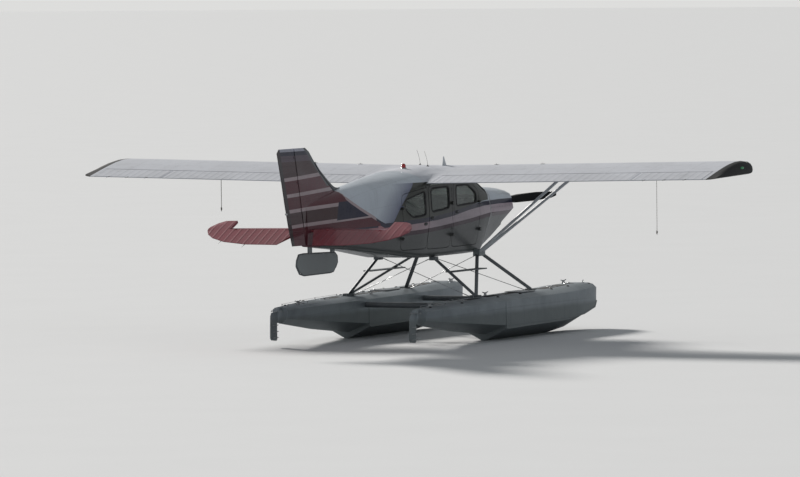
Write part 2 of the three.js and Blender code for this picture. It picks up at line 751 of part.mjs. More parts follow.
const sternLug = (low) =>
  block([-24, aft(STERN_STATION - 60), low], [24, aft(RUDDER_PIN.station + 22), low + RUDDER_PIN.lugThickness]);
const floatHull = cutBy(
  joined(
    floatForm,
    padSeat(FEET.rear, 15, 520, PAD_BOTTOM - SEAM),
    sternLug(RUDDER_PIN.low - RUDDER_PIN.lug - RUDDER_PIN.lugThickness),
    sternLug(RUDDER_PIN.high + RUDDER_PIN.lug),
  ),
  padSeat(FEET.front, SEAM, PAD_BOTTOM - SEAM, 700),
  padSeat(FEET.rear, SEAM, PAD_BOTTOM - SEAM, 700),
);
const bumper = bar([0, aft(BOW_STATION), 525], [0, aft(FLOAT_FRONT - SEAM), 525], 70, 20);
const waterRudder = joined(
  bar([0, aft(RUDDER_PIN.station), RUDDER_PIN.low], [0, aft(RUDDER_PIN.station), RUDDER_PIN.high], 18, 20),
  sidePlate(
    [[4775, 352], [4812, 352], [4812, 110], [4840, 90], [4990, 105], [5015, 140], [5005, 430], [4975, 480], [4775, 485]],
    -6,
    6,
  ),
);
for (const { side, sign } of SIDES) {
  const onFloat = (solid) => sided(solid.translate([FLOAT_SPACING / 2, 0, 0]), sign);
  place(`float_${side}`, onFloat(floatHull), BARE_ALUMINIUM);
  place(`bow_bumper_${side}`, onFloat(bumper), BUMPER_RUBBER);
  place(`water_rudder_${side}`, onFloat(waterRudder), BARE_ALUMINIUM);
}
const SPREADER = { height: 480, radius: 38 };
for (const end of ["front", "rear"]) {
  const y = aft(FEET[end]);
  const tube = bar([-900, y, SPREADER.height], [900, y, SPREADER.height], SPREADER.radius, 20);
  const outerEnds = [1, -1].map((sign) => sided(floatForm.translate([FLOAT_SPACING / 2 - SEAM, 0, 0]), sign));
  place(
    `spreader_bar_${end}`,
    cutBy(tube, ...outerEnds).intersect(block([-800, -9000, 0], [800, 9000, 1000])),
    BARE_ALUMINIUM,
  );
}

// Tail: fin and rudder on a raked hinge line, stabilisers and one joined elevator.
const RUDDER_HINGE = { lowStation: 6105, low: 1460, highStation: 6440, high: 2780 };
const RUDDER_RADIUS = 30;
const RAKE =
  (RUDDER_HINGE.highStation - RUDDER_HINGE.lowStation) / (RUDDER_HINGE.high - RUDDER_HINGE.low);
const hingeStation = (height) => RUDDER_HINGE.lowStation + (height - RUDDER_HINGE.low) * RAKE;
const finHalf = (height) => 24 + (RUDDER_HINGE.high - height) * 0.011;
const FIN_EDGE = [
  // [height, leading edge station]
  [1700, 4900],
  [1900, 4950],
  [2100, 5030],
  [2200, 5210],
  [2440, 5580],
  [2600, 5775],
  [2720, 5915],
  [2775, 6030],
];
const finForm = loft(
  FIN_EDGE.map(([height, nose]) => {
    const rear = hingeStation(height);
    const half = finHalf(height);
    const body = Math.min(nose + 260, rear - 60);
    return [
      [0, nose],
      [half * 0.55, nose + 60],
      [half, body],
      [half, rear],
      [-half, rear],
      [-half, body],
      [-half * 0.55, nose + 60],
    ].map(([x, station]) => new THREE.Vector3(x, aft(station), height));
  }),
);
const rudderBar = (low, high, radius) =>
  bar([0, aft(hingeStation(low)), low], [0, aft(hingeStation(high)), high], radius, 24);
const rudderHole = rudderBar(1300, 2900, RUDDER_RADIUS + MOVING_GAP);
const tailOutside = fuselageForm(4300, STERNPOST, -SEAM);
const RUDDER_BAR = 22;
const RUDDER_BEARINGS = [1960, 2320, 2660];
const BEARING = { half: 9, wall: 8 };
const finBearings = RUDDER_BEARINGS.map((height) =>
  joined(
    rudderBar(height - BEARING.half, height + BEARING.half, RUDDER_BAR + BEARING.wall),
    block(
      [-9, aft(hingeStation(height) - 52), height - BEARING.half],
      [9, aft(hingeStation(height) - 22), height + BEARING.half],
    ),
  ),
);
const rudderNotches = RUDDER_BEARINGS.map((height) =>
  rudderBar(height - BEARING.half - 10, height + BEARING.half + 10, RUDDER_RADIUS + MOVING_GAP),
);
place(
  "fin",
  cutBy(
    joined(cutBy(finForm, rudderHole), ...finBearings),
    tailOutside,
    rudderBar(1300, 2900, RUDDER_BAR + SEAM),
  ),
  RED_PAINT,
);
const RUDDER_EDGE = [
  // [height, trailing edge station]
  [1462, 6450],
  [1700, 6555],
  [2050, 6675],
  [2300, 6750],
  [2720, TAIL_STATION],
  [2775, TAIL_STATION - 60],
];
const rudderBlade = loft(
  RUDDER_EDGE.map(([height, rear]) => {
    const half = Math.min(finHalf(height), RUDDER_RADIUS) - 1;
    const front = hingeStation(height);
    return [
      [half, front],
      [6, rear],
      [-6, rear],
      [-half, front],
    ].map(([x, station]) => new THREE.Vector3(x, aft(station), height));
  }),
);
place(
  "rudder",
  joined(cutBy(rudderBlade, ...rudderNotches), rudderBar(1465, 2772, RUDDER_BAR)),
  RED_PAINT,
);

const ELEVATOR_HINGE = { station: 5970, height: 1650 };
const ELEVATOR_RADIUS = 24;
const TUBE_RADIUS = 18;
const TAILPLANE_TIP = 1500;
const TAILPLANE = [
  // [x, leading edge station, trailing edge station]
  [50, 5385, 6425],
  [750, 5460, 6415],
  [1100, 5530, 6340],
  [1320, 5620, 6225],
  [1440, 5730, 6110],
  [TAILPLANE_TIP, 5850, 6000],
];
const tailplaneForm = loft(
  TAILPLANE.map(([x, front, rear]) => {
    const half = ELEVATOR_RADIUS - (x / TAILPLANE_TIP) * 6;
    const thickest = Math.min(front + 160, ELEVATOR_HINGE.station - 10);
    return [
      [front, 0],
      [front + 40, half * 0.7],
      [thickest, half],
      [ELEVATOR_HINGE.station, half],
      [rear, 4],
      [rear, -4],
      [ELEVATOR_HINGE.station, -half],
      [thickest, -half],
      [front + 40, -half * 0.7],
    ].map(([station, lift]) => new THREE.Vector3(x, aft(station), ELEVATOR_HINGE.height + lift));
  }),
);
const elevatorBar = (from, to, radius) =>
  bar(
    [from, aft(ELEVATOR_HINGE.station), ELEVATOR_HINGE.height],
    [to, aft(ELEVATOR_HINGE.station), ELEVATOR_HINGE.height],
    radius,
    24,
  );
const HORN_INNER = 1180;
const HORN_FRONT = 5690;
const ELEVATOR_DROOP = 22;
const behindHinge = block([0, aft(ELEVATOR_HINGE.station), 1500], [1700, aft(6800), 1800]);
const hornZone = (gap) =>
  block([HORN_INNER - gap, aft(HORN_FRONT) - gap, 1500], [1700, aft(6800), 1800]);
const ELEVATOR_BEARINGS = [300, 1080];
const stabiliserBearings = ELEVATOR_BEARINGS.map((x) =>
  joined(
    elevatorBar(x - BEARING.half, x + BEARING.half, TUBE_RADIUS + BEARING.wall),
    block(
      [x - BEARING.half, aft(ELEVATOR_HINGE.station - 48), ELEVATOR_HINGE.height - 9],
      [x + BEARING.half, aft(ELEVATOR_HINGE.station - 20), ELEVATOR_HINGE.height + 9],
    ),
  ),
);
const elevatorNotches = ELEVATOR_BEARINGS.map((x) =>
  elevatorBar(x - BEARING.half - MOVING_GAP, x + BEARING.half + MOVING_GAP, ELEVATOR_RADIUS + MOVING_GAP + 2),
);
const stabiliser = cutBy(
  joined(
    cutBy(
      tailplaneForm,
      behindHinge,
      elevatorBar(-50, 1700, ELEVATOR_RADIUS + MOVING_GAP),
      hornZone(MOVING_GAP),
    ),
    ...stabiliserBearings,
  ),
  elevatorBar(-50, 1700, TUBE_RADIUS + SEAM),
  tailOutside,
);
const INBOARD_EDGE = [[-10, 5885], [100, 5885], [100, 5985], [330, 6585], [-10, 6585]];
const inboardZone = loft(
  [1400, 1900].map((z) => INBOARD_EDGE.map(([x, station]) => new THREE.Vector3(x, aft(station), z))),
);
const elevatorHalf = joined(
  cutBy(
    joined(tailplaneForm.intersect(behindHinge), tailplaneForm.intersect(hornZone(0))),
    inboardZone,
    ...elevatorNotches,
  ),
  elevatorBar(-5, 1440, TUBE_RADIUS),
);
const elevator = joined(...SIDES.map(({ sign }) => sided(elevatorHalf, sign)));
for (const { side, sign } of SIDES) {
  place(`stabiliser_${side}`, sided(stabiliser, sign), RED_PAINT);
}
place(
  "elevator",
  turnedAboutX(elevator, -ELEVATOR_DROOP, [0, aft(ELEVATOR_HINGE.station), ELEVATOR_HINGE.height]),
  RED_PAINT,
);
const CONE_WALL = 30;
const CONE_HOLLOW_END = 5620;
place(
  "tail_cone",
  cutBy(
    fuselageForm(CABIN_REAR + SEAM, STERNPOST),
    fuselageForm(CABIN_REAR - 20, CONE_HOLLOW_END, CONE_WALL),
    elevatorBar(-200, 200, TUBE_RADIUS + MOVING_GAP),
    rudderHole,
  ),
  WHITE_PAINT,
);

// Ventral fin on two stubs under the tail cone.
const VENTRAL_OUTLINE = softened(
  [[5030, 1190], [5200, 1060], [6160, 1055], [6360, 1200], [6280, 1350], [5100, 1325]],
  100,
);
const ventralStub = (station, top) =>
  sidePlate([[station, 1200], [station + 110, 1200], [station + 110, top], [station, top]], -9, 9);
place(
  "ventral_fin",
  cutBy(
    joined(sidePlate(VENTRAL_OUTLINE, -9, 9), ventralStub(5160, 1450), ventralStub(5860, 1500)),
    tailOutside,
  ),
  GREY_PAINT,
);

// Cabin furniture, standing on the cabin floor.
const FLOOR = 1168 + WALL + SEAM;
function seat(x, station, width, floor) {
  const half = width / 2;
  return joined(
    block([x - half + 70, aft(station), floor], [x + half - 70, aft(station + 420), 1380]),
    block([x - half, aft(station - 20), 1380], [x + half, aft(station + 460), 1490]),
    block([x - half, aft(station + 400), 1480], [x + half, aft(station + 500), 1990]),
  );
}
place("seat_front_left", seat(215, 1800, 390, FLOOR), SEAT_LEATHER);
place("seat_front_right", seat(-215, 1800, 390, FLOOR), SEAT_LEATHER);
place("rear_bench", seat(0, 2560, 840, FLOOR + 2.2), SEAT_LEATHER);
const yoke = (x) =>
  joined(
    bar([x, aft(1330), 1760], [x, aft(1560), 1775], 12, 12),
    block([x - 110, aft(1555), 1765], [x + 110, aft(1580), 1790]),
  );
const panelBoard = block([-600, aft(1270), 1640], [600, aft(1340), 1960]).intersect(
  fuselageForm(FIREWALL_STATION + 30, 1600, WALL + SEAM),
);
place("instrument_panel", joined(panelBoard, yoke(215), yoke(-215)), PANEL_PLASTIC);

export default parts;
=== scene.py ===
import math

import bmesh
import bpy
from mathutils import Matrix, Vector


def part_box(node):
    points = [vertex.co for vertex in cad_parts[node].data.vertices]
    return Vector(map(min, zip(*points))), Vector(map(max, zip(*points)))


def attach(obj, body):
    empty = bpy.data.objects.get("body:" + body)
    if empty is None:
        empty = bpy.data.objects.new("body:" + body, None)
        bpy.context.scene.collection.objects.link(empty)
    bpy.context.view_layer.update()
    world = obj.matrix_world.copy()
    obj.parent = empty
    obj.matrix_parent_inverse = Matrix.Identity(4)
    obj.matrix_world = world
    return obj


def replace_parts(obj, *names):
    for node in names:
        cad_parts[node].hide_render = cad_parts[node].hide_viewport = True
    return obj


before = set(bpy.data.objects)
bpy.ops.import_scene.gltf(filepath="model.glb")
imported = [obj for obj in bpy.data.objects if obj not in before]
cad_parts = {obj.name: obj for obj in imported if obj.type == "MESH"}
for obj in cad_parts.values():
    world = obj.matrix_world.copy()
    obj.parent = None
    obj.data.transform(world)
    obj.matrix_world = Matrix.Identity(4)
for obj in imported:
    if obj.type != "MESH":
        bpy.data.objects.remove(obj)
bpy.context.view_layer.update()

# The view: low over the ground, from far behind the right side, through a long lens. The
# aircraft's heading is 24 degrees to the right of straight away from the viewer, and the
# viewer's upright leans a little, because the photographed aircraft rides nose high.
VIEW_FROM = Vector((-41.31, 88.15, 5.50))
VIEW_UPRIGHT = Vector((0.0, -0.0244, 0.9997))
AIM = Vector((0.06, 0.0, 1.42))
LENS = 316.0


def placed(name, data):
    """A new object in the scene that holds the data."""
    made = bpy.data.objects.new(name, data)
    bpy.context.scene.collection.objects.link(made)
    return made


eye = placed("eye", bpy.data.cameras.new("eye"))
eye.location = VIEW_FROM
looking = (AIM - VIEW_FROM).normalized()
rightward = looking.cross(VIEW_UPRIGHT).normalized()
eye.rotation_euler = Matrix((rightward, rightward.cross(looking), -looking)).transposed().to_euler()
eye.data.lens = LENS
eye.data.clip_start = 1.0
eye.data.clip_end = 2000.0
bpy.context.scene.camera = eye


# Mooring ropes: one hangs from an eye plate under each wing, for whoever catches the aircraft
# at a dock. Three-strand laid rope, 12 mm thick, stiff with dried water. It is hitched
# through the eye and ends in a stopper knot.
ROPE_RADIUS = 0.006
ROPE_LAY = 0.042
ROPE_STEPS = 36
ROPE_TOPS = {"left": (3.35998, -1.07061, 2.25354), "right": (-3.35998, -1.07061, 2.25354)}
ROPE_ENDS = {"left": 1.730, "right": 1.450}
KNOT_HALF_HEIGHT = 0.018


def new_mesh(name, points, faces, smooth=True):
    mesh = bpy.data.meshes.new(name)
    mesh.from_pydata([tuple(p) for p in points], [], faces)
    mesh.update()
    for polygon in mesh.polygons:
        polygon.use_smooth = smooth
    return placed(name, mesh)


def fitted(made, material, body="airframe"):
    made.data.materials.append(material)
    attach(made, body)
    return made


def ring_faces(rings, sides, first_cap=True, last_cap=True, closed=False):
    """Faces between rings of points, each ring with that many sides, and caps on the ends."""
    faces = []
    for r in range(rings if closed else rings - 1):
        near = r * sides
        far = (r + 1) % rings * sides
        for k in range(sides):
            m = (k + 1) % sides
            faces.append((near + k, near + m, far + m, far + k))
    if first_cap:
        faces.append(tuple(reversed(range(sides))))
    if last_cap:
        faces.append(tuple((rings - 1) * sides + k for k in range(sides)))
    return faces


def swept(name, path, section, closed=False, caps=True, twist=0.0, smooth=True):
    """A tube with the given cross-section, [across, up] pairs, carried along the path."""
    path = [Vector(p) for p in path]
    count = len(path)
    ways = []
    for i, point in enumerate(path):
        before = path[i - 1] if closed or i else point
        after = path[(i + 1) % count] if closed or i + 1 < count else point
        ways.append((after - before).normalized())
    seed = Vector((0, 0, 1)) if abs(ways[0].z) < 0.9 else Vector((1, 0, 0))
    across = seed.cross(ways[0]).normalized()
    points, gone = [], 0.0
    for i, (point, way) in enumerate(zip(path, ways)):
        across = (across - way * across.dot(way)).normalized()
        up = way.cross(across)
        gone += (point - path[i - 1]).length if i else 0.0
        angle = twist * gone
        for a, b in section:
            c = a * math.cos(angle) - b * math.sin(angle)
            d = a * math.sin(angle) + b * math.cos(angle)
            points.append(point + across * c + up * d)
    capped = caps and not closed
    return new_mesh(name, points, ring_faces(count, len(section), capped, capped, closed), smooth)


def turn(step, count):
    """The angle of one of the steps that make up a full turn."""
    return 2 * math.pi * step / count


def ring_section(radius, sides=16, squash=1.0):
    turns = [turn(i, sides) for i in range(sides)]
    return [(radius * math.cos(t), radius * squash * math.sin(t)) for t in turns]


def three_strands(radius, sides=24):
    section = []
    for i in range(sides):
        t = turn(i, sides)
        r = radius * (0.80 + 0.20 * abs(math.cos(1.5 * t)))
        section.append((r * math.cos(t), r * math.sin(t)))
    return section


def set_input(tree, socket, value):
    if isinstance(value, bpy.types.NodeSocket):
        tree.links.new(value, socket)
    else:
        socket.default_value = value


def wire_up(tree, node, inputs):
    for key, value in inputs.items():
        set_input(tree, node.inputs[key], value)


def add_node(tree, kind, inputs=None, **settings):
    made = tree.nodes.new(kind)
    for key, value in settings.items():
        setattr(made, key, value)
    wire_up(tree, made, inputs or {})
    return made


def calc(tree, operation, *values):
    return add_node(tree, "ShaderNodeMath", dict(enumerate(values)), operation=operation).outputs[0]


def blend_colours(tree, share, first, second):
    return add_node(tree, "ShaderNodeMix", {0: share, 6: first, 7: second}, data_type="RGBA").outputs[2]


def rescaled(tree, value, low, high, to_low=0.0, to_high=1.0):
    inputs = dict(enumerate((value, low, high, to_low, to_high)))
    return add_node(tree, "ShaderNodeMapRange", inputs, clamp=True).outputs[0]


def place_in_frame(tree):
    return add_node(tree, "ShaderNodeTexCoord").outputs["Object"]


def stretched(tree, where, amounts):
    return add_node(tree, "ShaderNodeVectorMath", {0: where, 1: amounts}, operation="MULTIPLY").outputs[0]


def product(tree, *values):
    made = values[0]
    for value in values[1:]:
        made = calc(tree, "MULTIPLY", made, value)
    return made


def over(tree, colour, shade, *masks):
    """The colour with a shade laid over it by the product of the masks."""
    return blend_colours(tree, product(tree, *masks), colour, shade)


def noise(tree, scale, detail=3.0, rough=0.5, where=None, stretch=None):
    where = where or place_in_frame(tree)
    if stretch:
        where = stretched(tree, where, stretch)
    inputs = {"Vector": where, "Scale": scale, "Detail": detail, "Roughness": rough}
    return add_node(tree, "ShaderNodeTexNoise", inputs).outputs["Fac"]


def raised(tree, height, distance, strength=1.0, normal=None):
    inputs = {"Strength": strength, "Distance": distance, "Height": height}
    if normal is not None:
        inputs["Normal"] = normal
    return add_node(tree, "ShaderNodeBump", inputs).outputs["Normal"]


def new_finish(name):
    material = bpy.data.materials.new(name)
    material.use_nodes = True
    tree = material.node_tree
    return material, tree, tree.nodes["Principled BSDF"]


def make_rope_finish():
    material, tree, shader = new_finish("laid_rope")
    fibres = noise(tree, 900.0, 2.0, 0.6, stretch=(1.0, 1.0, 0.25))
    stains = noise(tree, 9.0, 4.0, 0.6)
    faded = rescaled(tree, stains, 0.35, 0.7)
    colour = blend_colours(tree, faded, (0.10, 0.085, 0.07, 1), (0.21, 0.19, 0.155, 1))
    colour = over(tree, colour, (0.33, 0.30, 0.26, 1), rescaled(tree, fibres, 0.3, 0.7, 0.0, 0.35))
    wire_up(tree, shader, {
        "Base Color": colour,
        "Roughness": rescaled(tree, stains, 0.2, 0.8, 0.78, 0.95),
        "Sheen Weight": 0.25,
        "Normal": raised(tree, fibres, 0.0006, 0.8),
    })
    return material


rope_finish = make_rope_finish()
for side, top in ROPE_TOPS.items():
    x, y, z = top
    end = ROPE_ENDS[side]
    knot_middle = end + 0.040
    drop = end + 0.004 - z
    route = [(x, y, z + drop * i / ROPE_STEPS) for i in range(ROPE_STEPS + 1)]
    rope = swept(f"mooring_rope_{side}", route, three_strands(ROPE_RADIUS), twist=turn(1, ROPE_LAY))
    hitch = []
    for i in range(28):
        t = turn(i, 28)
        hitch.append((x + 0.004 * math.cos(t), y + 0.010 * math.sin(t), z + 0.013 - 0.017 * math.cos(t)))
    loop = swept(f"mooring_hitch_{side}", hitch, three_strands(0.0045, 16), closed=True)
    coil = []
    for i in range(41):
        t = turn(2.25 * i, 40)
        level = knot_middle + KNOT_HALF_HEIGHT * (1 - i / 20)
        coil.append((x + 0.0085 * math.cos(t), y + 0.0085 * math.sin(t), level))
    knot = swept(f"mooring_knot_{side}", coil, three_strands(0.0050, 16))
    for piece in (rope, loop, knot):
        fitted(piece, rope_finish)
        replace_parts(piece, f"wing_rope_{side}")


# The studio: a very large plain floor, a pale sky of even light, one soft lamp high on the
# aircraft's left and a weak one on the side that is seen. The floor throws back less light
# than it shows, as water does, so that the shaded side keeps its depth.
FLOOR_SIZE = 900.0
FLOOR_BOUNCE = (0.36, 0.375, 0.40, 1)
SKY_STRENGTH = 0.27
BACKDROP_STRENGTH = 0.725


def make_floor_finish():
    material, tree, shader = new_finish("studio_floor")
    speckle = noise(tree, 0.6, 4.0, 0.55)
    colour = blend_colours(tree, speckle, (0.73, 0.74, 0.75, 1), (0.76, 0.77, 0.78, 1))
    shown = add_node(tree, "ShaderNodeLightPath").outputs["Is Camera Ray"]
    wire_up(tree, shader, {
        "Base Color": blend_colours(tree, shown, FLOOR_BOUNCE, colour),
        "Roughness": 0.85,
        "Specular IOR Level": 0.2,
    })
    return material


half_floor = FLOOR_SIZE / 2
corners = [(a * half_floor, b * half_floor, 0) for a, b in ((-1, -1), (1, -1), (1, 1), (-1, 1))]
floor = new_mesh("studio_floor", corners, [(0, 1, 2, 3)], smooth=False)
floor.data.materials.append(make_floor_finish())

world = bpy.data.worlds.new("studio_sky")
world.use_nodes = True
sky = world.node_tree
seen = add_node(sky, "ShaderNodeLightPath").outputs["Is Camera Ray"]
wire_up(sky, sky.nodes["Background"], {
    "Color": blend_colours(sky, seen, (0.90, 0.94, 0.97, 1), (1.0, 1.0, 0.985, 1)),
    "Strength": rescaled(sky, seen, 0.0, 1.0, SKY_STRENGTH, BACKDROP_STRENGTH),
})
bpy.context.scene.world = world
bpy.context.scene.view_settings.view_transform = "Standard"

# Each lamp: direction toward it, power, softness in degrees, tint.
LAMPS = {
    "key_lamp": ((0.75, -0.50, 0.42), 4.2, 9.0, (1.0, 0.965, 0.92)),
    "fill_lamp": ((-0.85, 0.45, 0.40), 0.18, 50.0, (0.88, 0.94, 1.0)),
}
for lamp_name, (toward, power, softness, tint) in LAMPS.items():
    lamp = placed(lamp_name, bpy.data.lights.new(lamp_name, "SUN"))
    lamp.rotation_euler = (-Vector(toward)).to_track_quat("-Z", "Y").to_euler()
    lamp.data.energy = power
    lamp.data.angle = math.radians(softness)
    lamp.data.color = tint


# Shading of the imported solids: their facets are smoothed where they meet at a shallow angle,
# as the real skins are rolled and stretched smooth, and left sharp at true edges.
SHARP_ANGLE = 38.0


def make_smoothing():
    group = bpy.data.node_groups.new("smooth_shallow_edges", "GeometryNodeTree")
    for way in ("INPUT", "OUTPUT"):
        group.interface.new_socket("Geometry", in_out=way, socket_type="NodeSocketGeometry")
    entry = add_node(group, "NodeGroupInput").outputs[0]
    merged = add_node(group, "GeometryNodeMergeByDistance", {"Geometry": entry, "Distance": 0.00005})
    angle = add_node(group, "GeometryNodeInputMeshEdgeAngle").outputs["Unsigned Angle"]
    limits = {"A": angle, "B": math.radians(SHARP_ANGLE)}
    sharp = add_node(group, "FunctionNodeCompare", limits, operation="GREATER_THAN").outputs["Result"]
    inputs = {"Mesh": merged.outputs["Geometry"], "Remove Custom": True, "Edge Sharpness": sharp}
    shade = add_node(group, "GeometryNodeSetMeshNormal", inputs, mode="SHARPNESS")
    add_node(group, "NodeGroupOutput", {0: shade.outputs["Mesh"]})
    return group


smoothing = make_smoothing()
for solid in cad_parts.values():
    modifier = solid.modifiers.new("smooth_shallow_edges", "NODES")
    modifier.node_group = smoothing


def paint_solid(material, *names):
    for name in names:
        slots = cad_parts[name].data.materials
        slots.clear()
        slots.append(material)


# Finish effects that the skins share. Weathering puts out broad and fine dirt. Riveted skin
# puts out the height of lapped seams and rivet heads from two distances over the surface.
def new_effect(name, inputs, outputs):
    group = bpy.data.node_groups.new(name, "ShaderNodeTree")
    for socket_name, value in inputs.items():
        socket = group.interface.new_socket(socket_name, in_out="INPUT", socket_type="NodeSocketFloat")
        socket.default_value = value
    for socket_name, kind in outputs.items():
        group.interface.new_socket(socket_name, in_out="OUTPUT", socket_type=kind)
    return group, group.nodes.new("NodeGroupInput"), group.nodes.new("NodeGroupOutput")


def use_effect(tree, group, **values):
    made = tree.nodes.new("ShaderNodeGroup")
    made.node_tree = group
    for key, value in values.items():
        set_input(tree, made.inputs[key.replace("_", " ").title()], value)
    return made.outputs


def make_weathering():
    tree, entry, leave = new_effect(
        "weathering",
        {"Broad Scale": 1.4, "Fine Scale": 60.0},
        {"Grime": "NodeSocketFloat", "Fine": "NodeSocketFloat", "Streaks": "NodeSocketFloat"},
    )
    where = place_in_frame(tree)
    for output, scale, stretch, low, high in (
        ("Grime", "Broad Scale", (1.0, 1.0, 1.0), 0.42, 0.72),
        ("Fine", "Fine Scale", (1.0, 1.0, 1.0), 0.35, 0.75),
        ("Streaks", "Broad Scale", (6.0, 6.0, 0.9), 0.50, 0.80),
    ):
        cloud = noise(tree, entry.outputs[scale], 6.0, 0.62, where, stretch)
        set_input(tree, leave.inputs[output], rescaled(tree, cloud, low, high))
    return tree


def make_riveted_skin():
    tree, entry, leave = new_effect(
        "riveted_skin",
        {"Along": 0.0, "Across": 0.0, "Seam Pitch": 0.5, "Rivet Pitch": 0.025, "Rivet Size": 0.0032},
        {"Height": "NodeSocketFloat", "Seam": "NodeSocketFloat"},
    )
    along, across, seam_pitch, rivet_pitch, size = (entry.outputs[i] for i in range(5))
    from_seam = calc(tree, "PINGPONG", along, calc(tree, "MULTIPLY", seam_pitch, 0.5))
    groove = rescaled(tree, from_seam, 0.0, 0.0022, 1.0, 0.0)
    along_row = calc(tree, "ABSOLUTE", calc(tree, "SUBTRACT", from_seam, 0.011))
    in_row = calc(tree, "PINGPONG", across, calc(tree, "MULTIPLY", rivet_pitch, 0.5))
    squares = [calc(tree, "POWER", distance, 2.0) for distance in (along_row, in_row)]
    apart = calc(tree, "SQRT", calc(tree, "ADD", *squares))
    head = rescaled(tree, calc(tree, "DIVIDE", apart, size), 0.55, 1.0, 1.0, 0.0)
    wire_up(tree, leave, {
        "Height": calc(tree, "SUBTRACT", head, calc(tree, "MULTIPLY", groove, 0.8)),
        "Seam": calc(tree, "MAXIMUM", groove, calc(tree, "MULTIPLY", head, 0.35)),
    })
    return tree


weathering = make_weathering()
riveted_skin = make_riveted_skin()


# Floats: riveted aluminium hulls in the water for years, so the sheet is dull, chalky below
# the waterline and scuffed on the chines. A keel strip, spray rails, a rubber bow bumper,
# deck hatches with cam locks, bilge plugs, cleats and a black anti-slip walkway belong to each.
WATERLINE = 0.40
FLOAT_MIDDLE = 1.05


def make_float_sheet():
    material, tree, shader = new_finish("float_sheet")
    spot = add_node(tree, "ShaderNodeSeparateXYZ", {0: place_in_frame(tree)})
    x, y, z = (spot.outputs[i] for i in range(3))
    from_middle = calc(tree, "SUBTRACT", calc(tree, "ABSOLUTE", x), FLOAT_MIDDLE)
    angle = calc(tree, "ARCTAN2", from_middle, calc(tree, "SUBTRACT", z, 0.36))
    around = calc(tree, "MULTIPLY", angle, 0.32)
    rows = {"rivet_pitch": 0.03, "rivet_size": 0.004}
    frames = use_effect(tree, riveted_skin, along=y, across=around, seam_pitch=0.46, **rows)
    stringers = use_effect(tree, riveted_skin, along=around, across=y, seam_pitch=0.21, **rows)
    worn = use_effect(tree, weathering, broad_scale=2.2, fine_scale=70.0)
    wet = calc(tree, "ADD", z, calc(tree, "MULTIPLY", noise(tree, 3.0, 3.0), 0.06))
    below = rescaled(tree, wet, WATERLINE, WATERLINE + 0.06, 1.0, 0.0)
    colour = blend_colours(tree, worn["Grime"], (0.335, 0.375, 0.40, 1), (0.235, 0.27, 0.29, 1))
    colour = over(tree, colour, (0.185, 0.205, 0.195, 1), below, 0.62)
    colour = over(tree, colour, (0.47, 0.49, 0.50, 1), worn["Fine"], 0.22)
    dark = calc(tree, "MAXIMUM", frames["Seam"], stringers["Seam"])
    colour = over(tree, colour, (0.07, 0.075, 0.08, 1), dark, 0.55)
    gloss = rescaled(tree, worn["Fine"], 0.0, 1.0, 0.36, 0.52)
    rivets = calc(tree, "ADD", frames["Height"], stringers["Height"])
    dents = noise(tree, 5.0, 2.0)
    wire_up(tree, shader, {
        "Base Color": colour,
        "Roughness": calc(tree, "ADD", gloss, calc(tree, "MULTIPLY", below, 0.2)),
        "Metallic": rescaled(tree, below, 0.0, 1.0, 0.62, 0.30),
        "Normal": raised(tree, dents, 0.006, 0.35, raised(tree, rivets, 0.0016, 0.9)),
    })
    return material


def make_worn(name, scales, clean, dirty, rough, bump, metallic=0.0, scuff=None, relief=None):
    """A finish that dirt darkens and fine wear roughens. relief is [scale, detail, roughness] of
    a grain, where the surface has its own. scuff is the share and colour of bare wear."""
    material, tree, shader = new_finish(name)
    grain = noise(tree, *relief) if relief else None
    worn = use_effect(tree, weathering, broad_scale=scales[0], fine_scale=scales[1])
    colour = blend_colours(tree, worn["Grime"], clean + (1,), dirty + (1,))
    if scuff:
        colour = over(tree, colour, scuff[1] + (1,), worn["Fine"], scuff[0])
    wire_up(tree, shader, {
        "Base Color": colour,
        "Metallic": metallic,
        "Roughness": rescaled(tree, worn["Fine"], 0.0, 1.0, *rough),
        "Normal": raised(tree, grain or worn["Fine"], *bump),
    })
    return material


float_sheet = make_float_sheet()
bumper_rubber = make_worn(
    "bumper_rubber", (9.0, 220.0), (0.018, 0.018, 0.019), (0.055, 0.052, 0.048), (0.62, 0.85), (0.0008, 0.6)
)
anti_slip = make_worn(
    "anti_slip_walkway", (5.0, 160.0), (0.028, 0.029, 0.031), (0.085, 0.083, 0.078),
    (0.93, 0.93), (0.0015, 0.9), relief=(700.0, 2.0, 0.7),
)
plated_metal = make_worn(
    "plated_fittings", (14.0, 300.0), (0.48, 0.49, 0.50), (0.264, 0.2695, 0.275),
    (0.24, 0.46), (0.0004, 0.4), metallic=0.9,
)


def pair(*names):
    """The left and the right node of each name."""
    return [f"{name}_{side}" for name in names for side in ("left", "right")]


paint_solid(float_sheet, *pair("float", "water_rudder"))
paint_solid(bumper_rubber, *pair("bow_bumper"))


PROPELLER_Y = -2.920


def aft(station):
    """The place along the aircraft of a distance behind the propeller, in metres."""
    return station + PROPELLER_Y


def met(node, start, way):
    """The point and the direction out where a line from start first meets a solid."""
    hit, point, out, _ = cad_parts[node].ray_cast(Vector(start), Vector(way))
    if not hit:
        raise ValueError(f"{node} isn't met from {tuple(start)}")
    return point, out


def lowered_onto(node, x, y):
    """The point and the direction out of a solid's top, straight below (x, y)."""
    return met(node, (x, y, 4.0), (0, 0, -1))


def turned(name, profile, at, axis=(0, 0, 1), sides=32, smooth=True):
    """A lathe piece: profile is [radius, height] pairs, lowest first, stood at a point along axis."""
    lean = Vector((0, 0, 1)).rotation_difference(Vector(axis)).to_matrix()
    points = []
    for radius, height in profile:
        for a, b in ring_section(radius, sides):
            points.append(Vector(at) + lean @ Vector((a, b, height)))
    return new_mesh(name, points, ring_faces(len(profile), sides), smooth)


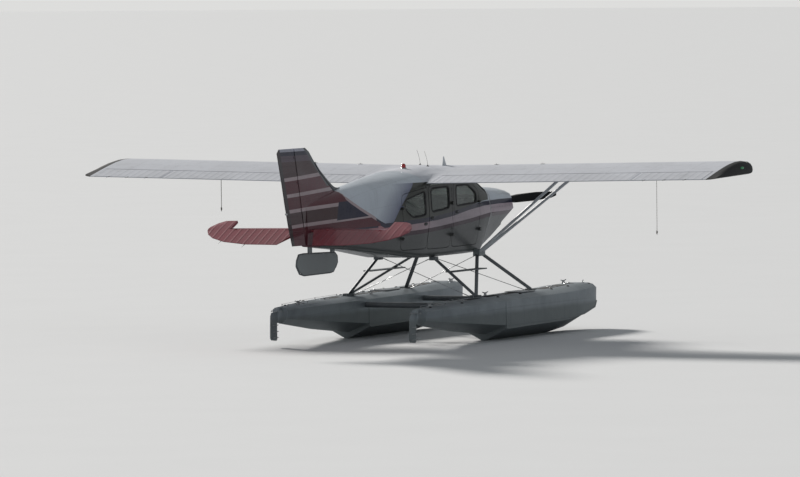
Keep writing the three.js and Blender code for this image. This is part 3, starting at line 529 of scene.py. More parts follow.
def joined_pieces(name, pieces):
    """Several new pieces made into one object of that name."""
    mesh = bpy.data.meshes.new(name)
    points, faces, smooths = [], [], []
    for one in pieces:
        start = len(points)
        points += [tuple(v.co) for v in one.data.vertices]
        for polygon in one.data.polygons:
            faces.append(tuple(start + i for i in polygon.vertices))
            smooths.append(polygon.use_smooth)
        bpy.data.objects.remove(one)
    mesh.from_pydata(points, [], faces)
    mesh.polygons.foreach_set("use_smooth", smooths)
    mesh.update()
    return placed(name, mesh)


def gathered(name, pieces, material, body="airframe"):
    return fitted(joined_pieces(name, pieces), material, body)


def plated(name, pieces, body="airframe"):
    return gathered(name, pieces, plated_metal, body)


def ribbon(name, middle, side, thick, lift=0.0):
    """A flat strip along points, half as wide as side on each hand, its lower face raised by lift."""
    up = Vector((0, 0, 1))
    points = []
    count = len(middle)
    for i, point in enumerate(middle):
        way = (Vector(middle[min(i + 1, count - 1)]) - Vector(middle[max(i - 1, 0)])).normalized()
        out = way.cross(up).normalized() * side
        base = Vector(point) + up * lift
        points += [base - out, base + out, base + out * 0.94 + up * thick, base - out * 0.94 + up * thick]
    return new_mesh(name, points, ring_faces(count, 4), smooth=False)


def rounded_corners(corners, radius):
    """A closed outline of quarter circles, one about each of four centres, anticlockwise."""
    made = []
    for i, (a, b) in enumerate(corners):
        for k in range(5):
            t = math.radians(90 * i + 22.5 * k)
            made.append((a + radius * math.cos(t), b + radius * math.sin(t)))
    return made


HATCH_STATIONS = (-0.35, 0.25, 1.35, 2.05, 3.30, 4.10)
LOCKER = 2
PLUG_STATIONS = (-0.70, 0.05, 0.62, 1.70, 2.45, 3.65, 4.45)
CLEAT_STATIONS = (-0.55, 2.15, 4.25)
WALKWAYS = {
    # strip: first and last station, shift outward, width
    "walkway_front": (-0.10, 0.68, 0.0, 0.17),
    "walkway_middle": (0.92, 2.54, -0.02, 0.15),
    "walkway_rear": (2.82, 3.20, 0.0, 0.13),
}
HATCH = [(0.075, -0.003), (0.075, 0.004), (0.066, 0.0065), (0.064, 0.0045), (0.020, 0.0065), (0.0, 0.007)]
LID_LOCK = [(0.017, 0.0), (0.017, 0.004), (0.010, 0.0075), (0.0, 0.008)]
PLUG = [(0.021, -0.004), (0.021, 0.005), (0.014, 0.011), (0.0, 0.012)]
CLEAT_LEG = [(0.016, -0.006), (0.015, 0.004), (0.009, 0.014), (0.009, 0.030), (0.011, 0.040)]


def arch(base, length, rise, steps):
    """Points of a handle bent up over a base point, along the aircraft."""
    turns = [math.pi * k / steps for k in range(steps + 1)]
    return [base + Vector((0, length * math.cos(t), rise * math.sin(t))) for t in turns]


for side, sign in (("left", 1), ("right", -1)):
    hull = f"float_{side}"
    middle = FLOAT_MIDDLE * sign
    hatches = []
    for i, station in enumerate(HATCH_STATIONS):
        spot, out = lowered_onto(hull, middle, aft(station))
        if i == LOCKER:
            # the baggage locker in the float's deck, a long lid with rounded corners
            lid = rounded_corners(((0.10, 0.21), (-0.10, 0.21), (-0.10, -0.21), (0.10, -0.21)), 0.03)
            points = []
            for grow, lift in ((1.06, 0.0002), (1.06, 0.004), (1.0, 0.009), (0.97, 0.010)):
                points += [(spot.x + a * grow, spot.y + b * grow, spot.z + lift + 0.0045) for a, b in lid]
            hatches.append(new_mesh("locker", points, ring_faces(4, len(lid))))
            for along in (-0.14, 0.14):
                at = (spot.x + 0.085 * sign, spot.y + along, spot.z + 0.0145)
                hatches.append(turned("lock", LID_LOCK, at))
        else:
            hatches.append(turned("hatch", HATCH, spot, out))
            grip = arch(spot + Vector((0, 0, 0.006)), 0.034, 0.012, 10)
            hatches.append(swept("grip", grip, ring_section(0.0035, 8)))
    plated(f"deck_hatches_{side}", hatches)
    plugs = []
    for station in PLUG_STATIONS:
        spot, out = lowered_onto(hull, middle + (0.16 if station < 4 else 0.05) * sign, aft(station))
        plugs.append(turned("plug", PLUG, spot, out, 20))
    gathered(f"bilge_plugs_{side}", plugs, bumper_rubber)
    cleats = []
    for station in CLEAT_STATIONS:
        spot, out = lowered_onto(hull, middle - (0.17 if station < 4 else 0.05) * sign, aft(station))
        horn = []
        for k in range(15):
            u = -1 + k / 7
            horn.append((spot.x, spot.y + 0.085 * u, spot.z + 0.040 + 0.010 * u * u))
        cleats.append(swept("horn", horn, ring_section(0.0085, 12, 0.8)))
        for along in (-0.024, 0.024):
            cleats.append(turned("leg", CLEAT_LEG, (spot.x, spot.y + along, spot.z), sides=16))
    plated(f"cleats_{side}", cleats)
    for part, (first, last, offset, width) in WALKWAYS.items():
        strip = []
        for k in range(25):
            station = first + (last - first) * k / 24
            spot, _ = lowered_onto(hull, middle + offset * sign, aft(station))
            strip.append(spot)
        strip = ribbon(f"{part}_{side}", strip, width / 2, 0.0022, 0.0004)
        fitted(strip, anti_slip)


# Struts and spreaders: streamlined and round tubes between floats and fuselage, painted in
# the floats' grey, with a boarding tread welded to each diagonal. Crossed bracing wires with
# threaded ends square up the two frames.
strut_paint = make_worn(
    "strut_paint", (3.0, 120.0), (0.150, 0.165, 0.175), (0.085, 0.092, 0.098),
    (0.34, 0.56), (0.0005, 0.5), metallic=0.35, scuff=(0.14, (0.36, 0.38, 0.39)),
)
paint_solid(strut_paint, "spreader_bar_front", "spreader_bar_rear")
paint_solid(strut_paint, *pair("float_strut_front", "float_strut_rear", "float_strut_diagonal"))

# Each wire: its upper end under the fuselage and its lower end at the other float's strut foot.
BRACING = {
    "front": ((0.452, aft(1.400), 1.150), (-0.930, aft(0.800), 0.600)),
    "rear": ((0.405, aft(2.850), 1.160), (-0.930, aft(2.680), 0.600)),
}
WIRE_RADIUS = 0.0045
WIRE_FORK = [(0.008, 0.0), (0.008, 0.05), (0.0062, 0.055), (0.0062, 0.13), (WIRE_RADIUS, 0.14)]
for end, (high, low) in BRACING.items():
    for side, sign in (("left", 1), ("right", -1)):
        top = Vector((high[0] * sign, high[1], high[2]))
        foot = Vector((low[0] * sign, low[1] + 0.012 * sign, low[2]))
        way = (foot - top).normalized()
        made = [swept("wire", [top, foot], ring_section(WIRE_RADIUS, 12))]
        for at, toward in ((top, way), (foot, -way)):
            made.append(turned("fork", WIRE_FORK, at, toward, 16))
        plated(f"bracing_wire_{end}_{side}", made)


# Airframe skins: riveted aluminium sheet in glossy enamel. White above, tinted as painted shade, olive black
# round the windows with a painted navy shadow fading out behind them, a pink band between two dark lines, grey
# below, and a maroon tail with light stripes behind a light diagonal. Set by place, so it runs on over doors.
UPPER_LINE = (
    # station, height of the upper navy line
    (0.00, 1.860), (0.77, 1.862), (1.33, 1.850), (1.86, 1.812), (2.49, 1.742), (2.94, 1.710),
    (3.74, 1.672), (4.30, 1.655), (4.40, 1.692), (4.60, 1.785), (4.84, 1.892), (5.04, 1.990),
    (5.15, 2.055), (5.20, 2.200), (5.26, 3.000), (7.00, 3.000),
)
LOWER_LINE = (
    # station, height of the lower navy line
    (0.00, 1.700), (0.45, 1.702), (1.18, 1.688), (1.82, 1.632), (2.28, 1.602), (2.82, 1.565),
    (3.35, 1.540), (4.10, 1.512), (4.66, 1.500), (5.20, 1.480), (7.00, 1.430),
)
STRIPE_LEVELS = (2.014, 2.225, 2.437, 2.660)
TAIL_FRONT = 4.40
BAND_END = 5.67
FAR_AFT = 9.0
LINE_SOFTNESS = 0.003
CURVE_LENGTH = 7.0
CURVE_LOW = 1.0
CURVE_RISE = 2.0


def line_height(tree, station, line):
    """The height of a drawn line at a station."""
    curve = add_node(tree, "ShaderNodeFloatCurve")
    track = curve.mapping.curves[0]
    for i, (along, height) in enumerate(line):
        at = (along / CURVE_LENGTH, (height - CURVE_LOW) / CURVE_RISE)
        if i == 0:
            track.points[0].location = at
        elif i == len(line) - 1:
            track.points[len(track.points) - 1].location = at
        else:
            track.points.new(*at)
    for point in track.points:
        point.handle_type = "VECTOR"
    curve.mapping.update()
    set_input(tree, curve.inputs["Value"], calc(tree, "DIVIDE", station, CURVE_LENGTH))
    return calc(tree, "MULTIPLY_ADD", curve.outputs["Value"], CURVE_RISE, CURVE_LOW)


def inside(tree, value, low, high):
    """1 where the value is between low and high, with a thin soft edge."""
    up = calc(tree, "DIVIDE", calc(tree, "SUBTRACT", value, low), LINE_SOFTNESS)
    down = calc(tree, "DIVIDE", calc(tree, "SUBTRACT", high, value), LINE_SOFTNESS)
    both = calc(tree, "MINIMUM", up, down)
    return add_node(tree, "ShaderNodeClamp", {0: calc(tree, "ADD", both, 0.5)}).outputs[0]


def risen(tree, start, value, slope):
    """start plus the value times the slope."""
    return calc(tree, "MULTIPLY_ADD", value, slope, start)


def make_scheme():
    tree, _, leave = new_effect("tail_and_side_scheme", {}, {"Colour": "NodeSocketColor"})
    # the white is the paint's own colour, tinted darker and bluer than plain white as painted shade
    white = (0.66, 0.72, 0.79, 1)
    band = (0.56, 0.46, 0.51, 1)
    rose = (0.46, 0.21, 0.24, 1)
    grey = (0.092, 0.098, 0.096, 1)
    olive = (0.042, 0.045, 0.036, 1)
    # a navy painted shadow, laid behind the windows' surround
    painted_shadow_navy = (0.115, 0.125, 0.235, 1)
    wine = (0.050, 0.012, 0.030, 1)
    navy = (0.018, 0.018, 0.050, 1)
    maroon = (0.115, 0.012, 0.026, 1)
    brown = (0.070, 0.028, 0.032, 1)
    plum = (0.115, 0.080, 0.110, 1)
    light = (0.50, 0.40, 0.42, 1)
    cap = (0.52, 0.53, 0.62, 1)
    edge = (0.085, 0.095, 0.105, 1)
    dark = (0.045, 0.035, 0.038, 1)
    spot = add_node(tree, "ShaderNodeSeparateXYZ", {0: place_in_frame(tree)})
    station = calc(tree, "SUBTRACT", spot.outputs[1], PROPELLER_Y)
    height = spot.outputs[2]
    over_upper = calc(tree, "SUBTRACT", height, line_height(tree, station, UPPER_LINE))
    over_lower = calc(tree, "SUBTRACT", height, line_height(tree, station, LOWER_LINE))

    def aft_of(start, end=FAR_AFT):
        return inside(tree, station, start, end)

    # the dark surround of the windows and its slanting end, and behind it a painted navy shadow that fades out
    # aft
    slant = risen(tree, station, calc(tree, "SUBTRACT", height, 1.73), 1.1)
    sill = calc(tree, "SUBTRACT", over_upper, rescaled(tree, station, 3.0, 1.0, 0.0, 0.05))
    surround = product(tree, inside(tree, sill, 0.0, 5.0), inside(tree, height, 1.0, 2.2165))
    fade = rescaled(tree, slant, 4.55, 4.06, 0.0, 0.85)
    colour = over(tree, white, painted_shadow_navy, surround, fade, aft_of(2.0))
    colour = over(tree, colour, olive, surround, inside(tree, slant, 0.0, 4.06), aft_of(1.16))
    side_band = blend_colours(tree, rescaled(tree, station, 2.9, 4.3), band, rose)
    colour = over(tree, colour, side_band, inside(tree, over_upper, -5.0, 0.0))
    colour = over(tree, colour, grey, inside(tree, over_lower, -5.0, 0.0))
    colour = over(tree, colour, navy, inside(tree, over_upper, -0.030, 0.032))
    colour = over(tree, colour, wine, inside(tree, over_lower, -0.030, 0.028))
    # the tail: maroon behind the diagonal, down to the belly
    over_band = calc(tree, "SUBTRACT", height, risen(tree, 1.745, station, -0.0195))
    all_red = inside(tree, risen(tree, station, over_band, 0.5), BAND_END, FAR_AFT)
    red = calc(tree, "MAXIMUM", inside(tree, over_band, 0.0, 5.0), all_red)
    tail = product(tree, inside(tree, over_upper, -5.0, -0.004), aft_of(TAIL_FRONT), red)
    colour = over(tree, colour, navy, inside(tree, over_band, -0.022, 0.004), aft_of(4.45, BAND_END))
    above_stripe = risen(tree, height, station, 0.045)
    tone = over(tree, maroon, brown, inside(tree, above_stripe, 2.014, 2.225))
    tone = over(tree, tone, brown, inside(tree, above_stripe, 2.66, 3.5))
    for level in STRIPE_LEVELS:
        tone = over(tree, tone, light, inside(tree, above_stripe, level - 0.024, level + 0.024))
    # the navy corner behind the diagonal
    corner_end = risen(tree, station, calc(tree, "SUBTRACT", above_stripe, 2.225), 0.4)
    corner = inside(tree, corner_end, 4.40, 5.33)
    tone = over(tree, tone, navy, inside(tree, above_stripe, 2.014, 2.255), corner)
    colour = over(tree, colour, tone, tail)
    for low, shade in ((2.600, plum), (2.682, navy), (2.736, cap)):
        colour = over(tree, colour, shade, inside(tree, height, low, 4.0), aft_of(5.5))
    colour = over(tree, colour, light, inside(tree, over_upper, -0.006, 0.040), aft_of(4.50, 5.215))
    # the fin's bare leading edge and the rudder's dark trailing edge
    fin_nose = risen(tree, 5.205, calc(tree, "SUBTRACT", height, 2.20), 1.34)
    leading = inside(tree, calc(tree, "SUBTRACT", station, fin_nose), -0.2, 0.150)
    colour = over(tree, colour, edge, leading, inside(tree, height, 2.24, 4.0), aft_of(5.20))
    rudder_end = risen(tree, 6.555, calc(tree, "SUBTRACT", height, 1.70), 0.335)
    trailing = inside(tree, calc(tree, "SUBTRACT", station, rudder_end), -0.085, 3.0)
    set_input(tree, leave.inputs["Colour"], over(tree, colour, dark, trailing))
    return tree


scheme = make_scheme()
FUSELAGE_AXIS = 1.75
FUSELAGE_RADIUS = 0.55
FLUTE_PITCH = 0.110
GLOSSY_COAT = 0.2


def make_enamel(name, seam_pitch, across_from, base=None, rivets=True, grime=0.30, coat=0.35, fluted=False):
    """Painted skin. across_from is "side" for a fuselage, "wing" for a wing and "fin" for a fin."""
    material, tree, shader = new_finish(name)
    spot = add_node(tree, "ShaderNodeSeparateXYZ", {0: place_in_frame(tree)})
    x, y, z = (spot.outputs[i] for i in range(3))
    over_axis = calc(tree, "SUBTRACT", z, FUSELAGE_AXIS)
    if across_from == "side":
        first, second = y, calc(tree, "MULTIPLY", calc(tree, "ARCTAN2", x, over_axis), FUSELAGE_RADIUS)
    elif across_from == "wing":
        first, second = x, y
    else:
        first, second = z, y
    heads = {"rivet_pitch": 0.028, "rivet_size": 0.0030}
    seams = use_effect(tree, riveted_skin, along=first, across=second, seam_pitch=seam_pitch, **heads)
    rows = use_effect(tree, riveted_skin, along=second, across=first, seam_pitch=0.31, **heads)
    worn = use_effect(tree, weathering, broad_scale=1.3, fine_scale=80.0)
    if base is None:
        colour = use_effect(tree, scheme)["Colour"]
        if across_from == "side":
            # the skins' inner faces are plain
            facing = add_node(tree, "ShaderNodeNewGeometry").outputs["True Normal"]
            outward = add_node(tree, "ShaderNodeCombineXYZ", {0: x, 1: 0.0, 2: over_axis}).outputs[0]
            along = add_node(tree, "ShaderNodeVectorMath", {0: facing, 1: outward}, operation="DOT_PRODUCT")
            inner = rescaled(tree, along.outputs["Value"], -0.01, -0.03)
            colour = over(tree, colour, (0.30, 0.29, 0.27, 1), inner)
    else:
        colour = over(tree, base, tuple(0.93 * c for c in base[:3]) + (1,), worn["Fine"])
    soiled = over(tree, colour, (0.16, 0.155, 0.14, 1), 0.55)
    colour = over(tree, colour, soiled, worn["Grime"], grime)
    colour = over(tree, colour, (0.10, 0.10, 0.095, 1), worn["Streaks"], 0.16)
    if rivets:
        line = calc(tree, "MAXIMUM", seams["Seam"], rows["Seam"])
        colour = over(tree, colour, (0.055, 0.055, 0.06, 1), line, 0.42)
        height = calc(tree, "ADD", seams["Height"], rows["Height"])
        normal = raised(tree, height, 0.0009, 0.75)
        normal = raised(tree, noise(tree, 3.4, 2.0), 0.008, 0.30, normal)
    else:
        normal = raised(tree, noise(tree, 5.0, 2.0), 0.004, 0.25)
    if fluted:
        # beads pressed into the thin skins, a V of them for each pitch across the span
        bead = calc(tree, "PINGPONG", first, FLUTE_PITCH / 2)
        crest = rescaled(tree, bead, 0.004, 0.020, 1.0, 0.0)
        normal = raised(tree, crest, 0.0045, 0.50, normal)
        # each bead is also drawn a little darker in colour: painted shade along the beads
        colour = over(tree, colour, (0.05, 0.05, 0.055, 1), crest, 0.10)
    glossy = coat > GLOSSY_COAT
    smoothest = 0.26 if glossy else 0.48
    wire_up(tree, shader, {
        "Base Color": colour,
        "Roughness": rescaled(tree, worn["Fine"], 0.0, 1.0, smoothest, smoothest + 0.16),
        "Coat Weight": coat,
        "Coat Roughness": 0.12,
        "Specular IOR Level": 0.5 if glossy else 0.25,
        "Normal": normal,
    })
    return material


plain = {"rivets": False}
pressed = {"rivets": False, "fluted": True}
side_enamel = make_enamel("side_enamel", 0.52, "side")
fin_enamel = make_enamel("fin_enamel", 0.40, "fin")
cowl_enamel = make_enamel("cowl_enamel", 3.0, "side", grime=0.5, **plain)
wing_enamel = make_enamel("wing_enamel", 0.61, "wing", (0.67, 0.69, 0.745, 1), grime=0.22, coat=0.08)
flap_enamel = make_enamel("flap_enamel", 9.0, "wing", (0.66, 0.68, 0.735, 1), coat=0.08, **pressed)
tailplane_enamel = make_enamel("tailplane_enamel", 0.33, "wing", (0.36, 0.055, 0.080, 1), grime=0.35)
elevator_enamel = make_enamel("elevator_enamel", 9.0, "wing", (0.31, 0.052, 0.072, 1), **pressed)
rudder_enamel = make_enamel("rudder_enamel", 9.0, "fin", **pressed)
plain_white = make_enamel("plain_white_enamel", 9.0, "wing", (0.70, 0.735, 0.765, 1), **plain)
grey_enamel = make_enamel("grey_enamel", 0.5, "fin", (0.235, 0.27, 0.275, 1), **plain)
black_enamel = make_enamel("black_enamel", 0.5, "wing", (0.010, 0.0105, 0.012, 1), coat=0.0, **plain)
paint_solid(side_enamel, "cabin_shell", "tail_cone", *pair("door_front"), "door_rear_right", "door_cargo_right")
paint_solid(cowl_enamel, "cowling")
paint_solid(fin_enamel, "fin")
paint_solid(rudder_enamel, "rudder")
paint_solid(wing_enamel, "roof_centre", *pair("wing"))
paint_solid(flap_enamel, *pair("flap", "aileron"))
paint_solid(tailplane_enamel, *pair("stabiliser"))
paint_solid(elevator_enamel, "elevator")
paint_solid(plain_white, "spinner", *pair("wing_strut_front", "wing_strut_rear"))
paint_solid(grey_enamel, "ventral_fin", *pair("strut_fitting"))
paint_solid(black_enamel, "propeller", *pair("wing_tip"))
paint_solid(plated_metal, "firewall")


# Glazing: the windscreen and the side panes are clear acrylic sheet, 6 mm thick and slightly
# hazed, held in black rubber channels.
def make_acrylic():
    material, tree, shader = new_finish("clear_acrylic")
    haze = noise(tree, 30.0, 4.0, 0.7)
    wire_up(tree, shader, {
        "Base Color": (0.86, 0.93, 0.86, 1),
        "Roughness": rescaled(tree, haze, 0.3, 0.8, 0.02, 0.09),
        "IOR": 1.49,
        "Metallic": 0.0,
        "Transmission Weight": 0.92,
        "Normal": raised(tree, noise(tree, 7.0, 2.0), 0.002, 0.15),
    })
    return material


acrylic = make_acrylic()
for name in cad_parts:
    if "window" in name or name == "windscreen":
        paint_solid(acrylic, name)


# Engine: a flat four-cylinder engine of cast alloy, bolted to the firewall. The cowl hides
# all but its front, behind the two inlets.
engine_casting = make_worn(
    "engine_casting", (6.0, 150.0), (0.10, 0.10, 0.105), (0.045, 0.04, 0.036),
    (0.5, 0.75), (0.001, 0.7), metallic=0.5,
)
paint_solid(engine_casting, "engine_block")


# Window seals: a black extruded rubber channel round each pane, pressed over the skin's edge
# and lipped on to the acrylic. The door panes' seals move with their doors.
FRONT_PANE = ((1.590, 1.875), (2.290, 1.855), (2.290, 2.135), (1.880, 2.135), (1.590, 2.014))
REAR_PANE = ((2.530, 1.838), (3.080, 1.798), (3.080, 2.120), (2.530, 2.135))
AFT_PANE = ((3.262, 1.770), (3.600, 1.742), (3.768, 1.850), (3.768, 1.985), (3.262, 2.092))
PANES = {
    # pane: outline of [station, height], side, body
    "door_window_front_left": (FRONT_PANE, 1, "door_front_left"),
    "door_window_front_right": (FRONT_PANE, -1, "door_front_right"),
    "door_window_rear_right": (REAR_PANE, -1, "door_rear_right"),
    "side_window_rear_left": (REAR_PANE, 1, "airframe"),
    "door_window_cargo_right": (AFT_PANE, -1, "door_cargo_right"),
    "side_window_aft_left": (AFT_PANE, 1, "airframe"),
}
PANE_CORNER = 0.060
SKIN_OVER_PANE = 0.014
SEAL_PROFILE = (
    # outward from the edge, height over the pane's outer face
    (-0.012, 0.0008),
    (-0.011, 0.0035),
    (-0.004, SKIN_OVER_PANE + 0.0020),
    (0.002, SKIN_OVER_PANE + 0.0034),
    (0.010, SKIN_OVER_PANE + 0.0030),
    (0.014, SKIN_OVER_PANE - 0.0030),
)


def rounded_outline(outline, radius, steps=6):
    """A closed outline with each corner eased into a curve."""
    made = []
    for i, (a, b) in enumerate(outline):
        ends = []
        for c, d in (outline[i - 1], outline[(i + 1) % len(outline)]):
            length = math.hypot(c - a, d - b)
            share = min(radius, length * 0.45) / length
            ends.append((a + (c - a) * share, b + (d - b) * share))
        for k in range(steps + 1):
            u = k / steps
            bow = [(1 - u) ** 2 * ends[0][j] + 2 * u * (1 - u) * (a, b)[j] + u * u * ends[1][j] for j in (0, 1)]
            made.append(tuple(bow))
    return made


def moved_out(outline, distance):
    """A closed outline moved outward by a distance, or inward where it is negative."""
    count = len(outline)
    onward = [outline[(i + 1) % count] for i in range(count)]
    area = sum(a * d - c * b for (a, b), (c, d) in zip(outline, onward))
    shift = math.copysign(distance, distance * area)
    made = []
    for i, (a, b) in enumerate(outline):
        (c, d), (e, f) = outline[i - 1], onward[i]
        length = math.hypot(e - c, f - d)
        made.append((a + (f - d) / length * shift, b - (e - c) / length * shift))
    return made


def out_of_side(node, sign, station, height):
    """The point and the direction out of a solid's side, at a place in side view."""
    return met(node, (2.0 * sign, aft(station), height), (-sign, 0, 0))


seal_rubber = make_worn(
    "seal_rubber", (12.0, 260.0), (0.016, 0.016, 0.017), (0.060, 0.058, 0.054), (0.50, 0.72), (0.0003, 0.5)
)
for pane, (outline, sign, body) in PANES.items():
    edge = rounded_outline(outline, PANE_CORNER)
    # how far out the pane is just inside its edge and a little further in, to carry its slope on
    shallow, deep = (
        [abs(out_of_side(pane, sign, *place)[0].x) for place in moved_out(edge, shift)]
        for shift in (-0.010, -0.034)
    )
    points = []
    for shift, lift in SEAL_PROFILE:
        for (station, height), near, far in zip(moved_out(edge, shift), shallow, deep):
            level = near + (near - far) * (shift + 0.010) / 0.024
            points.append((sign * (level + lift), aft(station), height))
    seal = new_mesh(f"seal_{pane}", points, ring_faces(len(SEAL_PROFILE), len(edge), False, False))
    thickness = seal.modifiers.new("wall", "SOLIDIFY")
    thickness.thickness = 0.0012
    thickness.offset = -sign
    fitted(seal, seal_rubber, body)

# The windscreen's seal runs round its foot, up both posts and across the roof.
SCREEN_FOOT = 1.197
SCREEN_HEAD = 1.722
POST_STEPS = 8
screen_edge = []


def follow_screen(start, way):
    """Lead the seal over the windscreen's outer face where a line from start meets it."""
    hit, point, out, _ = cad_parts["windscreen"].ray_cast(Vector(start), Vector(way))
    if hit:
        screen_edge.append(point + out * (SKIN_OVER_PANE - 0.001))


def across_screen(station, sweep):
    for degrees in sweep:
        way = Vector((math.cos(math.radians(degrees)), 0, math.sin(math.radians(degrees))))
        follow_screen(Vector((0, aft(station), 1.90)) + way * 2.0, -way)


def along_post(sign, steps):
    for k in steps:
        station = SCREEN_FOOT + (SCREEN_HEAD - SCREEN_FOOT) * k / POST_STEPS
        height = 1.990 + (station - 1.185) * 258 / 550 + 0.014
        follow_screen((2.0 * sign, aft(station), height), (-sign, 0, 0))


across_screen(SCREEN_FOOT, range(8, 173, 6))
along_post(-1, range(1, POST_STEPS))
across_screen(SCREEN_HEAD, range(172, 7, -6))
along_post(1, range(POST_STEPS - 1, 0, -1))
seal = swept("seal_windscreen", screen_edge, ring_section(0.011, 12, 0.42), closed=True)
fitted(seal, seal_rubber)


# Door handles: a flush pull lever of plated metal in a black moulded dish on each door, with a
# key lock below it, screwed through the door's skin.
HANDLES = {
    # door: station, height, side
    "front_left": (2.290, 1.770, 1),
    "front_right": (2.290, 1.770, -1),
    "rear_right": (3.080, 1.715, -1),
    "cargo_right": (3.270, 1.640, -1),
}
# half width, half height and height over the door's skin, from the rim to the dish's floor
DISH = ((0.052, 0.021, 0.0004), (0.050, 0.019, 0.0022), (0.044, 0.014, 0.0024), (0.040, 0.011, 0.0012))
KEY_LOCK = [(0.0085, 0.0), (0.0085, 0.0015), (0.006, 0.0022), (0.0, 0.0020)]


def squared_ring(wide, tall, power, count):
    """Points of a ring that is squarer than an ellipse, the more so the lower the power."""
    made = []
    for k in range(count):
        c, s = math.cos(turn(k, count)), math.sin(turn(k, count))
        made.append((math.copysign(abs(c) ** power, c) * wide, math.copysign(abs(s) ** power, s) * tall))
    return made


for door, (station, height, sign) in HANDLES.items():
    body = f"door_{door}"
    spot, out = out_of_side(body, sign, station, height)
    along = Vector((0, 0, 1)).cross(out).normalized()
    up = out.cross(along)
    points = []
    for wide, tall, lift in DISH:
        points += [spot + along * a + up * b + out * lift for a, b in squared_ring(wide, tall, 0.6, 28)]
    dish = new_mesh(f"handle_dish_{door}", points, ring_faces(len(DISH), 28, first_cap=False))
    fitted(dish, seal_rubber, body)
    lever = []
    for k in range(9):
        rise = 0.0035 + 0.0035 * math.sin(math.pi * k / 8)
        lever.append(spot + along * (-0.034 + 0.068 * k / 8) + out * rise)
    handle = swept("lever", lever, ring_section(0.0075, 12, 0.45))
    lock = turned("lock", KEY_LOCK, spot - up * 0.038 + out * 0.0004, out, 20)
    plated(f"handle_lever_{door}", [handle, lock], body)


# Cowling fittings: quarter-turn fasteners along the split lines, a hinged oil door, two steel
# exhaust stacks below, and lips of bent sheet round the inlets, with finned cylinders behind.
STUD = [(0.0095, -0.001), (0.0095, 0.0014), (0.0078, 0.0024), (0.0030, 0.0024), (0.0, 0.0014)]
STUD_PLACES = [(0.34 + 0.09 * k, 1.790) for k in range(9)] + [(1.075, 1.34 + 0.11 * k) for k in range(6)]
OIL_DOOR = (0.20, aft(0.72))
CYLINDER_X = 0.235
CYLINDER_Z = 1.845
hot_steel = make_worn(
    "heat_stained_steel", (11.0, 180.0), (0.19, 0.165, 0.15), (0.085, 0.06, 0.05),
    (0.38, 0.62), (0.0006, 0.6), metallic=0.8,
)
fasteners = []
for sign in (1, -1):
    for station, height in STUD_PLACES:
        spot, out = out_of_side("cowling", sign, station, height)
        fasteners.append(turned("stud", STUD, spot, out, 18))
plated("cowl_fasteners", fasteners)

middle, _ = lowered_onto("cowling", *OIL_DOOR)
rim = squared_ring(0.055, 0.080, 0.35, 32)
rim = [lowered_onto("cowling", OIL_DOOR[0] + a, OIL_DOOR[1] + b) for a, b in rim]
points = [spot + out * lift for lift in (0.0003, 0.0024) for spot, out in rim]
points += [middle + (spot - middle) * 0.94 + out * 0.0032 for spot, out in rim]
oil_door = new_mesh("oil_door", points, ring_faces(3, len(rim), first_cap=False))
fitted(oil_door, cowl_enamel)

for side, sign in (("left", 1), ("right", -1)):
    stack = []
    for k in range(9):
        u = k / 8
        stack.append((0.165 * sign, aft(0.905 + 0.10 * u * u), 1.335 - 0.135 * u))
    pipe = swept(f"exhaust_stack_{side}", stack, ring_section(0.031, 24), caps=False)
    wall = pipe.modifiers.new("wall", "SOLIDIFY")
    wall.thickness = 0.0025
    fitted(pipe, hot_steel)
    fins = []
    ring = squared_ring(0.085, 0.062, 0.5, 20)
    for k in range(16):
        ends = [aft(0.335 + 0.0115 * k + level) for level in (0.0, 0.003)]
        points = [(CYLINDER_X * sign + a, end, CYLINDER_Z + b) for end in ends for a, b in ring]
        fins.append(new_mesh("fin", points, ring_faces(2, len(ring))))
    barrel = [(0.052, 0.0), (0.052, 0.19), (0.0, 0.19)]
    fins.append(turned("barrel", barrel, (CYLINDER_X * sign, aft(0.330), CYLINDER_Z), (0, 1, 0), 28))
    gathered(f"cylinder_fins_{side}", fins, engine_casting)
    lip = [(0.245 * sign + a, aft(0.2275), 1.850 + b) for a, b in squared_ring(0.0865, 0.0465, 0.35, 28)]
    lip = swept(f"inlet_lip_{side}", lip, ring_section(0.0055, 10), closed=True)
    fitted(lip, plain_white)


# Seats: two front seats on welded tube frames that slide on floor rails, and a bench across
# the back. Foam pads covered in stitched brown leather, with drawn-in channels and piping.
# A cloth simulation swells each pad, and its seams are drawn in afterwards.
PADS = {
    # pad: box middle, box size, its face, channels across and their pitch, voxel, solid
    "seat_cushion": ((0.215, aft(2.020), 1.4370), (0.388, 0.476, 0.106), (0, 0, 1), 5, 0.062, 0.009),
    "seat_back": ((0.215, aft(2.246), 1.7420), (0.384, 0.092, 0.492), (0, -1, 0), 5, 0.062, 0.009),
    "bench_cushion": ((0.0, aft(2.780), 1.4370), (0.836, 0.476, 0.106), (0, 0, 1), 11, 0.066, 0.011),
    "bench_back": ((0.0, aft(3.006), 1.7420), (0.832, 0.092, 0.492), (0, -1, 0), 11, 0.066, 0.011),
}
PAD_SWELL = 0.007
CHANNEL_DEPTH = 0.0055
CHANNEL_WIDTH = 0.0065
PIPING_RADIUS = 0.0036
SWELL_FRAMES = 20
CLOTH = {
    "quality": 4,
    "mass": 0.35,
    "tension_stiffness": 22,
    "compression_stiffness": 14,
    "bending_stiffness": 0.8,
    "use_pressure": True,
    "uniform_pressure_force": 4.0,
}


